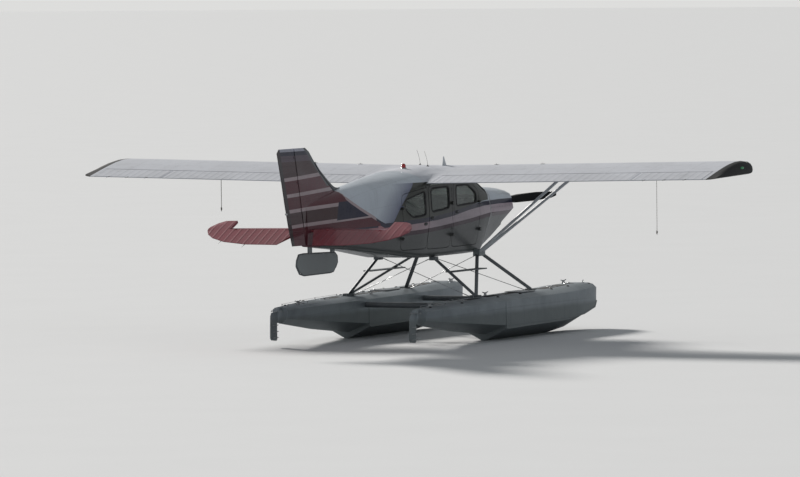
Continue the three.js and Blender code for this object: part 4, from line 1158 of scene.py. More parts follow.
def make_leather():
    material, tree, shader = new_finish("brown_leather")
    inputs = {"Vector": place_in_frame(tree), "Scale": 620.0}
    cells = add_node(tree, "ShaderNodeTexVoronoi", inputs, feature="DISTANCE_TO_EDGE")
    grain = rescaled(tree, cells.outputs["Distance"], 0.0, 0.20)
    worn = use_effect(tree, weathering, broad_scale=7.0, fine_scale=190.0)
    colour = blend_colours(tree, worn["Grime"], (0.150, 0.118, 0.090, 1), (0.085, 0.064, 0.048, 1))
    colour = over(tree, colour, (0.225, 0.180, 0.140, 1), worn["Fine"], 0.35)
    colour = over(tree, colour, (0.045, 0.034, 0.026, 1), rescaled(tree, grain, 0.0, 0.5, 0.35, 0.0))
    creases = noise(tree, 26.0, 3.0, 0.6)
    wire_up(tree, shader, {
        "Base Color": colour,
        "Roughness": rescaled(tree, worn["Grime"], 0.0, 1.0, 0.42, 0.62),
        "Sheen Weight": 0.12,
        "Normal": raised(tree, creases, 0.004, 0.35, raised(tree, grain, 0.0006, 0.6)),
    })
    return material


def with_modifier_applied(piece):
    """Make a piece's mesh what its modifiers make of it, and drop them."""
    made = bpy.data.meshes.new_from_object(piece.evaluated_get(bpy.context.evaluated_depsgraph_get()))
    piece.modifiers.clear()
    piece.data = made
    for polygon in made.polygons:
        polygon.use_smooth = True


def formed(name, form):
    """A new object from a bmesh, which is freed."""
    mesh = bpy.data.meshes.new(name)
    form.to_mesh(mesh)
    form.free()
    return placed(name, mesh)


def swollen_pad(name, middle, size, face, channels, pitch, voxel):
    """A cloth cushion blown up inside its box, with channels drawn into its face."""
    form = bmesh.new()
    bmesh.ops.create_cube(form, size=2.0)
    bmesh.ops.subdivide_edges(form, edges=form.edges[:], cuts=13, use_grid_fill=True)
    half = [side / 2 - PAD_SWELL for side in size]
    for vert in form.verts:
        p = vert.co
        q = p / (abs(p.x) ** 7 + abs(p.y) ** 7 + abs(p.z) ** 7) ** (1 / 7)
        waist_x = 1 - 0.012 * (1 - q.y * q.y) * (1 - q.z * q.z)
        waist_y = 1 - 0.012 * (1 - q.x * q.x)
        vert.co = Vector((q.x * half[0] * waist_x, q.y * half[1] * waist_y, q.z * half[2])) + Vector(middle)
    pad = formed(name, form)
    remesh = pad.modifiers.new("remesh", "REMESH")
    remesh.mode = "VOXEL"
    remesh.voxel_size = voxel
    with_modifier_applied(pad)
    before = [vert.co.copy() for vert in pad.data.vertices]
    cloth = pad.modifiers.new("swell", "CLOTH")
    for key, value in CLOTH.items():
        setattr(cloth.settings, key, value)
    cloth.settings.effector_weights.gravity = 0.0
    cloth.point_cache.frame_start = 1
    cloth.point_cache.frame_end = SWELL_FRAMES
    for step in range(1, SWELL_FRAMES + 1):
        bpy.context.scene.frame_set(step)
    with_modifier_applied(pad)
    bpy.context.scene.frame_set(1)
    furthest = PAD_SWELL * 1.3
    for vert, start in zip(pad.data.vertices, before):
        shift = vert.co - start
        if shift.length > furthest:
            vert.co = start + shift * (furthest / shift.length)
    smooth = pad.modifiers.new("subdivide", "SUBSURF")
    smooth.levels = 1
    with_modifier_applied(pad)
    low = [middle[i] - size[i] / 2 for i in range(3)]
    high = [middle[i] + size[i] / 2 for i in range(3)]
    along = 1 if face[2] else 2
    offset = (channels + 1) % 2 / 2
    normals = [vert.normal.copy() for vert in pad.data.vertices]
    for vert, normal in zip(pad.data.vertices, normals):
        front = max(0.0, normal.dot(Vector(face)))
        across = vert.co.x - middle[0]
        nearest = round(across / pitch - offset) + offset
        on_line = math.exp(-(((across - nearest * pitch) / CHANNEL_WIDTH) ** 2))
        share = abs(vert.co[along] - middle[along]) / (size[along] / 2)
        within = share < 0.72 and abs(nearest) <= (channels - 1) / 2 + 0.01
        cross = math.exp(-(((share - 0.74) * size[along] / 2 / CHANNEL_WIDTH) ** 2))
        sunk = max(on_line * within, cross * 0.9) * front * CHANNEL_DEPTH
        moved = vert.co - normal * sunk
        vert.co = Vector([min(max(moved[i], low[i]), high[i]) for i in range(3)])
    return pad


def piping(name, pad, middle, size, face):
    """A welt that follows the pad's rim, near the edge of its face."""
    first, second = [i for i in range(3) if not face[i]]
    deep = [i for i in range(3) if face[i]][0]
    path = []
    for a, b in squared_ring(1.0, 1.0, 0.28, 96):
        spot = list(middle)
        spot[first] += a * size[first] * 0.51
        spot[second] += b * size[second] * 0.51
        spot[deep] += face[deep] * size[deep] / 2 * 0.62
        _, point, normal, _ = pad.closest_point_on_mesh(Vector(spot))
        path.append(point + normal * PIPING_RADIUS * 0.25)
    return swept(name, path, ring_section(PIPING_RADIUS, 8), closed=True)


def plate(name, low, high, bevel=0.003):
    """A flat sheet or moulded block with rounded edges, between two corners."""
    form = bmesh.new()
    bmesh.ops.create_cube(form, size=1.0)
    for vert in form.verts:
        vert.co = Vector([low[i] + (high[i] - low[i]) * (vert.co[i] + 0.5) for i in range(3)])
    bmesh.ops.bevel(form, geom=form.edges[:], offset=bevel, segments=3, profile=0.5, affect="EDGES")
    return formed(name, form)


leather = make_leather()
for kind, (middle, size, face, channels, pitch, voxel) in PADS.items():
    pad = swollen_pad(kind, middle, size, face, channels, pitch, voxel)
    welt = piping(f"{kind}_welt", pad, middle, size, face)
    if kind.startswith("seat"):
        for side, shift in (("left", 0.0), ("right", -0.430)):
            for piece in (pad, welt):
                own = placed(piece.name.replace("seat_", f"seat_{side}_"), piece.data.copy())
                own.data.transform(Matrix.Translation((shift, 0, 0)))
                fitted(own, leather)
                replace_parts(own, f"seat_front_{side}")
        bpy.data.objects.remove(pad)
        bpy.data.objects.remove(welt)
    else:
        for piece in (pad, welt):
            fitted(piece, leather)
            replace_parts(piece, "rear_bench")

# Their welded tube frames, moulded back shells and webbing lap belts with plated buckles.
CABIN_FLOOR = 1.2085
SEATS = {
    # seat: middle, half its frame's width, station, half its back's width, belts' middles, solid
    "seat_left": (0.215, 0.125, 1.80, 0.190, {"": 0.215}, "seat_front_left"),
    "seat_right": (-0.215, 0.125, 1.80, 0.190, {"": -0.215}, "seat_front_right"),
    "bench": (0.0, 0.350, 2.56, 0.414, {"_left": 0.205, "_right": -0.205}, "rear_bench"),
}
FRAME_CORNERS = ((0.385, 1.335), (0.035, 1.335), (0.035, 1.245), (0.385, 1.245))
SLIDER = [(0.012, 0.0), (0.013, 0.012), (0.009, 0.018), (0.0, 0.018)]


def make_webbing():
    material, tree, shader = new_finish("belt_webbing")
    spot = add_node(tree, "ShaderNodeSeparateXYZ", {0: place_in_frame(tree)})
    ribs = calc(tree, "PINGPONG", calc(tree, "ADD", spot.outputs[0], spot.outputs[1]), 0.0012)
    rib = rescaled(tree, ribs, 0.0, 0.0012)
    colour = blend_colours(tree, noise(tree, 40.0, 3.0), (0.030, 0.032, 0.036, 1), (0.065, 0.066, 0.070, 1))
    wire_up(tree, shader, {
        "Base Color": colour,
        "Roughness": rescaled(tree, rib, 0.0, 1.0, 0.62, 0.80),
        "Normal": raised(tree, rib, 0.0005, 0.8),
    })
    return material


black_plastic = make_worn(
    "black_moulding", (8.0, 210.0), (0.022, 0.023, 0.024), (0.052, 0.050, 0.046), (0.50, 0.68), (0.0005, 0.7),
    scuff=(0.15, (0.12, 0.12, 0.12)), relief=(420.0, 2.0, 0.6),
)
webbing = make_webbing()
for name, (middle_x, half, station, back_half, belts, solid_name) in SEATS.items():
    tubes = []
    for sign in (1, -1):
        x = middle_x + sign * (half - 0.014)
        loop = [(x, aft(station + a), b) for a, b in rounded_corners(FRAME_CORNERS, 0.022)]
        tubes.append(swept("side_frame", loop, ring_section(0.011, 12), closed=True))
        low = (x - 0.011, aft(station + 0.002), CABIN_FLOOR + 0.002)
        high = (x + 0.011, aft(station + 0.418), CABIN_FLOOR + 0.014)
        tubes.append(plate("rail", low, high, 0.002))
        for y in (0.07, 0.35):
            tubes.append(turned("slider", SLIDER, (x, aft(station + y), CABIN_FLOOR + 0.012), sides=16))
    for y in (0.06, 0.36):
        ends = [(middle_x + sign * (half - 0.014), aft(station + y), 1.350) for sign in (-1, 1)]
        tubes.append(swept("cross_tube", ends, ring_section(0.010, 12)))
    low = (middle_x - half + 0.004, aft(station + 0.004), 1.3605)
    high = (middle_x + half - 0.004, aft(station + 0.416), 1.3790)
    tubes.append(plate("pan", low, high, 0.004))
    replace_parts(plated(f"{name}_frame", tubes), solid_name)
    low = (middle_x - back_half, aft(station + 0.4935), 1.500)
    high = (middle_x + back_half, aft(station + 0.4995), 1.980)
    shell = plate(f"{name}_back_shell", low, high, 0.0028)
    fitted(shell, black_plastic)
    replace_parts(shell, solid_name)
    pad = bpy.data.objects[f"{name}_cushion"]
    for which, seat_x in belts.items():
        belt = []
        for k in range(19):
            u = -1 + k / 9
            x, y = seat_x + 0.168 * u, aft(station + 0.300 + 0.055 * abs(u))
            hit, point, _, _ = pad.ray_cast(Vector((x, y, 1.60)), Vector((0, 0, -1)))
            if hit:
                belt.append((x, y, min(point.z + 0.0022, 1.4925)))
        lap = ribbon(f"{name}_belt{which}", belt, 0.0235, 0.0014)
        fitted(lap, webbing)
        x, y, z = belt[len(belt) // 2]
        buckle = plate("buckle", (x - 0.034, y - 0.024, z + 0.0016), (x + 0.034, y + 0.024, z + 0.0125), 0.004)
        latch = plate("latch", (x - 0.018, y - 0.020, z + 0.0130), (x + 0.028, y + 0.020, z + 0.0165), 0.0015)
        plated(f"{name}_buckle{which}", [buckle, latch])


# Instrument panel: a crackle-painted board with round flight dials, a radio stack, plunger
# controls and switches screwed on, under a black padded glare shield with a compass on it.
PANEL_FACE = aft(1.340)
BIG_DIALS = tuple((0.215 + dx, z) for z in (1.907, 1.817) for dx in (-0.092, 0.0, 0.092))
SMALL_DIALS = (
    (0.405, 1.900), (0.405, 1.848), (-0.150, 1.915), (-0.210, 1.915), (-0.270, 1.915), (-0.330, 1.915),
)
SCREW = [(0.0030, -0.0005), (0.0030, 0.0012), (0.0018, 0.0018), (0.0, 0.0018)]
KNOB = [(0.0085, 0.0), (0.0080, 0.009), (0.0055, 0.0095), (0.0050, 0.016), (0.0, 0.0165)]
COLLAR = [(0.0060, 0.0), (0.0060, 0.0022), (0.0040, 0.0030), (0.0, 0.0030)]
PLUNGER = [
    (0.0100, 0.0), (0.0100, 0.003), (0.0040, 0.005), (0.0040, 0.040),
    (0.0120, 0.044), (0.0140, 0.052), (0.0110, 0.060), (0.0, 0.061),
]
LATCH = [(0.008, 0.0), (0.008, 0.003), (0.005, 0.005), (0.0, 0.005)]
COMPASS = [
    (0.020, 0.0), (0.021, 0.003), (0.012, 0.007), (0.019, 0.013),
    (0.0225, 0.023), (0.020, 0.034), (0.010, 0.040), (0.0, 0.041),
]
MARK_FACES = [(0, 1, 2, 3), (7, 6, 5, 4), (0, 4, 5, 1), (1, 5, 6, 2), (2, 6, 7, 3), (3, 7, 4, 0)]
paint_solid(black_plastic, "instrument_panel")


def make_hazed(name, scale, first, second, rough, coat=0.0):
    """A smooth finish that a fine haze tints and dulls."""
    material, tree, shader = new_finish(name)
    haze = noise(tree, scale, 3.0)
    wire_up(tree, shader, {
        "Base Color": blend_colours(tree, haze, first + (1,), second + (1,)),
        "Roughness": rescaled(tree, haze, 0.2, 0.8, *rough),
        "Coat Weight": coat,
    })
    return material


def on_panel(name, profile, x, z, sides, rise=0.0):
    """A lathe piece that stands out from the panel's face."""
    return turned(name, profile, (x, PANEL_FACE + rise, z), (0, 1, 0), sides)


bezels, glasses, marks = [], [], []
dials = [(x, z, 0.040) for x, z in BIG_DIALS] + [(x, z, 0.024) for x, z in SMALL_DIALS]
for number, (x, z, radius) in enumerate(dials):
    rim = [
        (radius, 0.0), (radius, 0.0045), (radius - 0.003, 0.0060),
        (radius - 0.006, 0.0060), (radius - 0.008, 0.0035), (radius - 0.008, 0.0030),
    ]
    glass = [(radius - 0.0085, 0.0030), (radius - 0.010, 0.0036), (0.0, 0.0038)]
    bezels.append(on_panel("bezel", rim, x, z, 40))
    glasses.append(on_panel("glass", glass, x, z, 40))
    reach = (radius + 0.001) * 1.06
    for k in range(4):
        t = math.radians(45 + 90 * k)
        bezels.append(on_panel("screw", SCREW, x + reach * math.cos(t), z + reach * math.sin(t), 10))
    strokes = [(k * 30.0, radius * 0.60, radius * 0.74, 0.0006 if k % 3 else 0.0011) for k in range(12)]
    strokes.append((40.0 + 67.0 * number, -radius * 0.14, radius * 0.56, 0.0011))
    for degrees, near, far, wide in strokes:
        t = math.radians(degrees)
        way, side_way = Vector((math.sin(t), 0, math.cos(t))), Vector((math.cos(t), 0, -math.sin(t)))
        corners = []
        for lift in (0.0041, 0.0045):
            base = Vector((x, PANEL_FACE + lift, z))
            for length, half in ((near, -wide), (near, wide), (far, wide * 0.6), (far, -wide * 0.6)):
                corners.append(base + way * length + side_way * half)
        marks.append(new_mesh("mark", corners, MARK_FACES, smooth=False))
gathered("dial_bezels", bezels, black_plastic)
dial_glass = make_hazed("dial_glass", 90.0, (0.008, 0.008, 0.009), (0.016, 0.016, 0.018), (0.04, 0.12), 0.6)
gathered("dial_glasses", glasses, dial_glass)

radios, windows = [], []
for z in (1.928, 1.886, 1.844, 1.802):
    low, high = (-0.084, PANEL_FACE + 0.0002, z - 0.0185), (0.084, PANEL_FACE + 0.0080, z + 0.0185)
    radios.append(plate("radio", low, high, 0.003))
    low, high = (-0.052, PANEL_FACE + 0.0084, z - 0.0100), (0.052, PANEL_FACE + 0.0096, z + 0.0110)
    windows.append(plate("window", low, high, 0.0006))
    for x in (-0.068, 0.068):
        radios.append(on_panel("knob", KNOB, x, z, 18, 0.0078))
for k in range(9):
    x = 0.095 + 0.030 * k
    radios.append(on_panel("collar", COLLAR, x, 1.688, 14))
    lever = [(x, PANEL_FACE + a, b) for a, b in ((0.0020, 1.688), (0.010, 1.6915), (0.0165, 1.6945))]
    radios.append(swept("toggle", lever, ring_section(0.0020, 8)))
for x in (-0.034, 0.0, 0.034):
    radios.append(on_panel("plunger", PLUNGER, x, 1.712, 24))
low, high = (-0.395, PANEL_FACE + 0.0002, 1.660), (-0.095, PANEL_FACE + 0.0040, 1.738)
radios.append(plate("glovebox", low, high, 0.0018))
radios.append(on_panel("latch", LATCH, -0.245, 1.726, 18, 0.0038))
gathered("radios_and_controls", radios, black_plastic)
gathered("radio_windows", windows, dial_glass)
dial_paint = make_hazed("dial_marks", 260.0, (0.70, 0.69, 0.64), (0.58, 0.57, 0.50), (0.50, 0.65))
gathered("dial_marks", marks, dial_paint)

shield = []
for k in range(15):
    u = -1 + k / 7
    for station, lift in ((1.215, 0.0), (1.345, 0.0015), (1.372, -0.006)):
        shield.append((0.425 * u, aft(station), 1.9655 + 0.006 * (1 - u * u) + lift))
faces = [(k * 3 + j, k * 3 + 3 + j, k * 3 + 4 + j, k * 3 + 1 + j) for k in range(14) for j in range(2)]
glare_shield = new_mesh("glare_shield", shield, faces)
wall = glare_shield.modifiers.new("wall", "SOLIDIFY")
wall.thickness = 0.005
wall.offset = 1.0
fitted(glare_shield, black_plastic)
compass = turned("compass", COMPASS, (0.0, aft(1.300), 1.9765), sides=28)
fitted(compass, black_plastic)

# Controls: padded black horns on the two control wheels, and plated rudder pedals on tube
# arms that stand on the floor below the panel.
WHEEL_Y = aft(1.568)
PEDAL_Y = aft(1.235)
HORN = ((0.060, 1.7775), (0.092, 1.7785), (0.106, 1.790), (0.111, 1.812), (0.106, 1.842), (0.098, 1.866))
GRIP_END = [(0.0135, -0.004), (0.0110, 0.004), (0.0, 0.006)]
grips, pedals = [], []
for x in (0.215, -0.215):
    for sign in (1, -1):
        path = [(x + sign * outward, WHEEL_Y, height) for outward, height in HORN]
        grips.append(swept("grip", path, ring_section(0.0140, 16, 0.85)))
        grips.append(turned("grip_end", GRIP_END, path[-1], (-0.3 * sign, 0, 1), 16))
        foot_x = x + sign * 0.085
        arm = [(foot_x, PEDAL_Y, CABIN_FLOOR + 0.004), (foot_x, PEDAL_Y, 1.300), (foot_x, aft(1.250), 1.330)]
        pedals.append(swept("pedal_arm", arm, ring_section(0.007, 12)))
        low, high = (foot_x - 0.045, aft(1.245), 1.315), (foot_x + 0.045, aft(1.257), 1.395)
        pedals.append(plate("pedal", low, high, 0.004))
    bar = [(x + reach, PEDAL_Y, CABIN_FLOOR + 0.022) for reach in (-0.105, 0.105)]
    pedals.append(swept("pedal_bar", bar, ring_section(0.009, 12)))
gathered("wheel_horns", grips, black_plastic)
plated("rudder_pedals", pedals)


# Armrests: a ledge of moulded black plastic screwed to the inside of each cabin door, to pull
# it shut by.
ARMRESTS = {
    # door: first and last station, height, side
    "front_left": (1.930, 2.220, 1.640, 1),
    "front_right": (1.930, 2.220, 1.640, -1),
    "rear_right": (2.620, 2.900, 1.610, -1),
}
for door, (first, last, height, sign) in ARMRESTS.items():
    body = f"door_{door}"
    rest = []
    for k in range(9):
        point, _ = met(body, (0, aft(first + (last - first) * k / 8), height), (sign, 0, 0))
        reach = 0.040 * math.sin(math.pi * (0.12 + 0.76 * k / 8)) ** 0.4
        ring = ((0.0015, 0.014), (reach * 0.8, 0.016), (reach, 0.004), (reach * 0.85, -0.012), (0.0015, -0.020))
        rest += [(point.x - sign * inward, point.y, point.z + level) for inward, level in ring]
    armrest = new_mesh(f"armrest_{door}", rest, ring_faces(9, 5))
    fitted(armrest, black_plastic, body)


# Roof and wing fittings: drip rails of bent sheet over the doors, strut cuffs, fuel caps and
# drains, a pitot tube, stall vane, lamps in the tips, aerials and a beacon on the roof.
TIP_STATION = 2.300
STRUT_TOPS = {"front": (2.200, 2.010), "rear": (2.200, 2.470)}
STRUT_FEET = {"front": 1.420, "rear": 1.514}
# how far down the strut, and how much larger than the strut
CUFF = ((-0.004, 1.90), (0.006, 1.55), (0.022, 1.28), (0.050, 1.12), (0.085, 1.07), (0.088, 1.00))


def lifted_onto(node, x, y, from_height=-1.0):
    """The point and the direction out of a solid's underside, straight above (x, y)."""
    return met(node, (x, y, from_height), (0, 0, 1))


def make_lens(name, *tint):
    return make_hazed(name, 120.0, tint, tuple(0.7 * c for c in tint), (0.08, 0.20), 0.7)


FUEL_CAP = [
    (0.042, -0.002), (0.042, 0.0015), (0.038, 0.003), (0.036, 0.0012),
    (0.024, 0.0016), (0.020, 0.0052), (0.0, 0.006),
]
FUEL_DRAIN = [(0.011, -0.001), (0.011, 0.003), (0.006, 0.006), (0.006, 0.014), (0.0, 0.015)]
COVER = [(0.062, -0.001), (0.062, 0.0012), (0.060, 0.0018), (0.0, 0.0022)]
COVER_SCREW = [(0.0036, 0.001), (0.0030, 0.0030), (0.0, 0.0032)]
PITOT_FOOT = [(0.020, -0.001), (0.020, 0.003), (0.012, 0.007), (0.0065, 0.016)]
WHIP_BASE = [(0.020, -0.003), (0.019, 0.004), (0.009, 0.012), (0.005, 0.024), (0.0, 0.025)]
red_lens = make_lens("red_lens", 0.55, 0.02, 0.02)
green_lens = make_lens("green_lens", 0.02, 0.38, 0.12)
clear_lens = make_lens("clear_lens", 0.62, 0.64, 0.64)
DRIP_SECTION = [
    (-0.006, 0.0), (0.006, 0.0), (0.007, 0.007), (0.0055, 0.007), (0.0048, 0.0016), (-0.006, 0.0016),
]
for side, sign in (("left", 1), ("right", -1)):
    wing = f"wing_{side}"
    rail = []
    for k in range(28):
        station = 1.790 + (3.160 - 1.790) * k / 27
        spot, out = out_of_side("cabin_shell", sign, station, 2.196)
        rail.append(spot + out * 0.004)
    rail = swept(f"drip_rail_{side}", rail, DRIP_SECTION, smooth=False)
    fitted(rail, plain_white)
    cuffs = []
    for end, (x, station) in STRUT_TOPS.items():
        top, _ = lifted_onto(wing, (x - 0.030) * sign, aft(station), 1.4)
        chord = 0.095 if end == "front" else 0.075
        foot = Vector((0.530 * sign, aft(STRUT_FEET[end]), 1.175))
        way = (foot - top).normalized()
        forward = Vector((0, 1, 0))
        across = (forward - way * forward.dot(way)).normalized()
        thick = way.cross(across)
        rings = []
        for along, grow in CUFF:
            for a, b in ring_section(grow, 28):
                rings.append(top + way * along + across * (chord / 2 * a) + thick * (0.0215 * b))
        cuffs.append(new_mesh("cuff", rings, ring_faces(len(CUFF), 28, False, False)))
    gathered(f"strut_cuffs_{side}", cuffs, plain_white)
    caps = []
    for x in (1.05, 1.75):
        spot, out = lowered_onto(wing, x * sign, aft(2.10))
        caps.append(turned("cap", FUEL_CAP, spot, out, 36))
        grip = []
        for k in range(9):
            rise = 0.005 + 0.010 * math.sin(math.pi * k / 8)
            grip.append(spot + out * rise + Vector((0, -0.017 + 0.034 * k / 8, 0)))
        caps.append(swept("cap_grip", grip, ring_section(0.0028, 8)))
        spot, out = lifted_onto(wing, x * sign, aft(2.55))
        caps.append(turned("drain", FUEL_DRAIN, spot, out, 18))
    plated(f"fuel_fittings_{side}", caps)
    panels = []
    for x in (0.85, 1.55, 2.65, 3.25, 3.95):
        spot, out = lifted_onto(wing, x * sign, aft(2.35))
        panels.append(turned("cover", COVER, spot, out, 32))
        lean = Vector((0, 0, 1)).rotation_difference(out).to_matrix()
        for a, b in ring_section(0.052, 6):
            panels.append(turned("screw", COVER_SCREW, spot + lean @ Vector((a, b, 0)), out, 10))
    gathered(f"access_covers_{side}", panels, wing_enamel)
    # a lamp and its streamlined housing on each tip
    spot, _ = met(f"wing_tip_{side}", (6.0 * sign, aft(TIP_STATION), 2.400), (-sign, 0, 0))
    lamp = []
    for ring in range(9):
        u = -1 + ring / 4
        wide = max(0.0015, 0.018 * math.sqrt(max(0.0, 1 - u * u)) ** (0.8 if u < 0 else 1.3))
        lamp += [spot + Vector((sign * 1.1 * a, 0.055 * u, b)) for a, b in ring_section(wide, 20)]
    lamp = new_mesh(f"tip_lamp_{side}", lamp, ring_faces(9, 20))
    fitted(lamp, red_lens if sign > 0 else green_lens)

spot, out = lifted_onto("wing_left", 2.95, aft(1.90))
bends = ((0.0, 0.004), (-0.004, -0.050), (-0.012, -0.078), (-0.040, -0.092), (-0.180, -0.092))
pitot = [spot + Vector((0, along, rise)) for along, rise in bends]
made = [swept("pitot", pitot, ring_section(0.0065, 14)), turned("foot", PITOT_FOOT, spot, out, 20)]
made.append(plate("stall_vane", (2.620, aft(1.688), 2.318), (2.645, aft(1.716), 2.3205), 0.0008))
plated("pitot_tube", made)

# Roof: a blade aerial, two raked whips of black rod and the beacon.
BLADE = (
    # height, front edge, rear edge, half thickness
    (-0.004, -0.070, 0.075, 0.0075),
    (0.004, -0.066, 0.070, 0.0065),
    (0.070, -0.020, 0.052, 0.0045),
    (0.120, 0.012, 0.044, 0.0030),
    (0.126, 0.020, 0.040, 0.0012),
)
BEACON_BASE = [(0.038, -0.006), (0.038, 0.008), (0.033, 0.014), (0.0, 0.014)]
BEACON_DOME = [(0.030, 0.013), (0.030, 0.040), (0.027, 0.054), (0.019, 0.065), (0.008, 0.071), (0.0, 0.072)]
spot, _ = lowered_onto("roof_centre", -0.28, aft(2.160))
blade = []
for level, nose, tail, half in BLADE:
    for a, b in ring_section(1.0, 16):
        blade.append(spot + Vector((half * b, (nose + tail) / 2 + (tail - nose) / 2 * a, level)))
blade = new_mesh("blade_aerial", blade, ring_faces(len(BLADE), 16, first_cap=False))
fitted(blade, plain_white)
whips = []
for x, station in ((0.16, 2.020), (-0.10, 2.330)):
    spot, out = lowered_onto("roof_centre", x, aft(station))
    whips.append(turned("base", WHIP_BASE, spot, out, 20))
    whip = [spot + Vector((0, 0.10 * (k / 12) ** 1.5, 0.020 + 0.190 * k / 12)) for k in range(13)]
    whips.append(swept("rod", whip, ring_section(0.0019, 8)))
gathered("whip_aerials", whips, seal_rubber)
spot, out = lowered_onto("roof_centre", 0.0, aft(2.900))
fitted(turned("beacon_base", BEACON_BASE, spot, out, 32), plated_metal)
fitted(turned("beacon_lens", BEACON_DOME, spot, out, 32), red_lens)


# Tail fittings: a clear tail lamp bolted to the rudder, static wicks sleeved on the trailing
# edges of the ailerons and the elevator, and a folded rim round the bolted ventral fin.
TAIL_LAMP = [(0.016, -0.012), (0.016, 0.004), (0.014, 0.016), (0.008, 0.023), (0.0, 0.025)]
WICKS = {
    # node: places across the aircraft
    "aileron_left": (3.80, 4.10, 4.40),
    "aileron_right": (-3.80, -4.10, -4.40),
    "elevator": (0.75, 1.15, -0.75, -1.15),
}
WICK = [(0.0042, 0.0), (0.0042, 0.050), (0.0018, 0.054), (0.0016, 0.115), (0.0, 0.116)]
VENTRAL_RIM = (
    # station, height
    (5.075, 1.182), (5.190, 1.072), (5.300, 1.0595), (5.700, 1.0575), (6.100, 1.0555),
    (6.240, 1.082), (6.338, 1.190), (6.322, 1.262), (6.262, 1.338), (6.120, 1.347),
    (5.700, 1.339), (5.300, 1.330), (5.140, 1.322), (5.072, 1.276),
)
BOLT = [(0.009, 0.0), (0.009, 0.004), (0.006, 0.006), (0.0, 0.006)]
spot, _ = met("rudder", (0.0, 5.5, 1.900), (0, -1, 0))
fitted(turned("tail_lamp", TAIL_LAMP, spot, (0, 1, 0.1), 24), clear_lens, "rudder")
for node, places in WICKS.items():
    edge_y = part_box(node)[1][1]
    droop = -0.36 if node == "elevator" else -0.10
    wicks = []
    for x in places:
        # step forward from the solid's rearmost place until there is skin below
        for k in range(60):
            start = Vector((x, edge_y - 0.0005 - 0.0075 * k, 4.0))
            hit, point, _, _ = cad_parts[node].ray_cast(start, Vector((0, 0, -1)))
            if hit:
                break
        foot = point + Vector((0, -0.020, 0.001))
        wicks.append(turned("sleeve", WICK, foot, (0.0, 0.93, droop), 10))
    gathered(f"static_wicks_{node}", wicks, bumper_rubber, node)
rim = [Vector((0.0, aft(station), height)) for station, height in VENTRAL_RIM]
rim = [start.lerp(end, share) for start, end in zip(rim, rim[1:] + rim[:1]) for share in (0.0, 0.33, 0.66)]
rim = swept("ventral_fin_rim", rim, ring_section(0.0115, 10), closed=True)
fitted(rim, strut_paint)
bolts = []
for station in (5.180, 5.250, 5.880, 5.950):
    for sign in (1, -1):
        at = (0.009 * sign, aft(station), 1.352)
        bolts.append(turned("bolt", BOLT, at, (sign, 0, 0), 6, smooth=False))
plated("ventral_fin_bolts", bolts)

# A folded sheet fillet that carries the fin's leading edge down on to the fuselage's crown.
FILLET = (
    # station, height of the sheet's ridge
    (4.970, 2.205), (5.030, 2.203), (5.090, 2.208), (5.140, 2.220), (5.200, 2.245), (5.260, 2.275),
    (5.320, 2.306), (5.400, 2.350), (5.500, 2.409), (5.600, 2.470), (5.680, 2.531), (5.740, 2.575),
)
FILLET_ARCH = ((-1.0, 0.0), (-0.95, 0.5), (-0.55, 0.90), (0.0, 1.0), (0.55, 0.90), (0.95, 0.5), (1.0, 0.0))
# the fin's leading edge: stations where a straight run starts, its height there and its slope
FIN_RUNS = ((5.15, 5.21, 2.20, 0.6486), (5.58, 5.58, 2.44, 0.8205))
edge_enamel = make_enamel("edge_enamel", 0.4, "fin", (0.060, 0.066, 0.074, 1), rivets=False)
ridge = []
for station, top in FILLET:
    foot = lowered_onto("tail_cone", 0.0, aft(station))[0].z - 0.008 if station < FIN_RUNS[0][0] else 0.0
    for first, start, height, slope in FIN_RUNS:
        if station >= first:
            foot = height + (station - start) * slope - 0.035
    half = 0.0155 if station > 5.2 else 0.0155 - 0.0095 * (5.2 - station) / 0.23
    top = max(top, foot + 0.004)
    ridge += [(half * across, aft(station), foot + (top - foot) * share) for across, share in FILLET_ARCH]
fillet = new_mesh("fin_fillet", ridge, ring_faces(len(FILLET), len(FILLET_ARCH)))
fitted(fillet, edge_enamel)


# Float trim: an aluminium spray rail along each chine, angles beside the keel, a plated bow
# eye, the water rudder's tiller, and the cables that turn it, led over posts on the deck.
CHINE = (
    # station, chine height, half width
    (-0.90, 0.385, 0.185), (-0.60, 0.310, 0.290), (-0.10, 0.240, 0.345), (0.50, 0.190, 0.360),
    (1.20, 0.1840, 0.360), (1.90, 0.1780, 0.360), (2.58, 0.172, 0.360),
)
RAIL_SECTION = [(-0.0015, -0.010), (0.0135, -0.0045), (0.0145, -0.0015), (0.0010, 0.0075), (-0.0015, 0.0075)]
EYE_FOOT = [(0.019, -0.003), (0.019, 0.003), (0.010, 0.006), (0.0, 0.006)]
TILLER_PIN = [(0.007, 0.0), (0.007, 0.004), (0.004, 0.006), (0.004, 0.014), (0.006, 0.016), (0.0, 0.018)]
POST = [
    (0.009, -0.004), (0.008, 0.002), (0.0045, 0.006), (0.0045, 0.020),
    (0.0075, 0.022), (0.0075, 0.030), (0.0, 0.031),
]
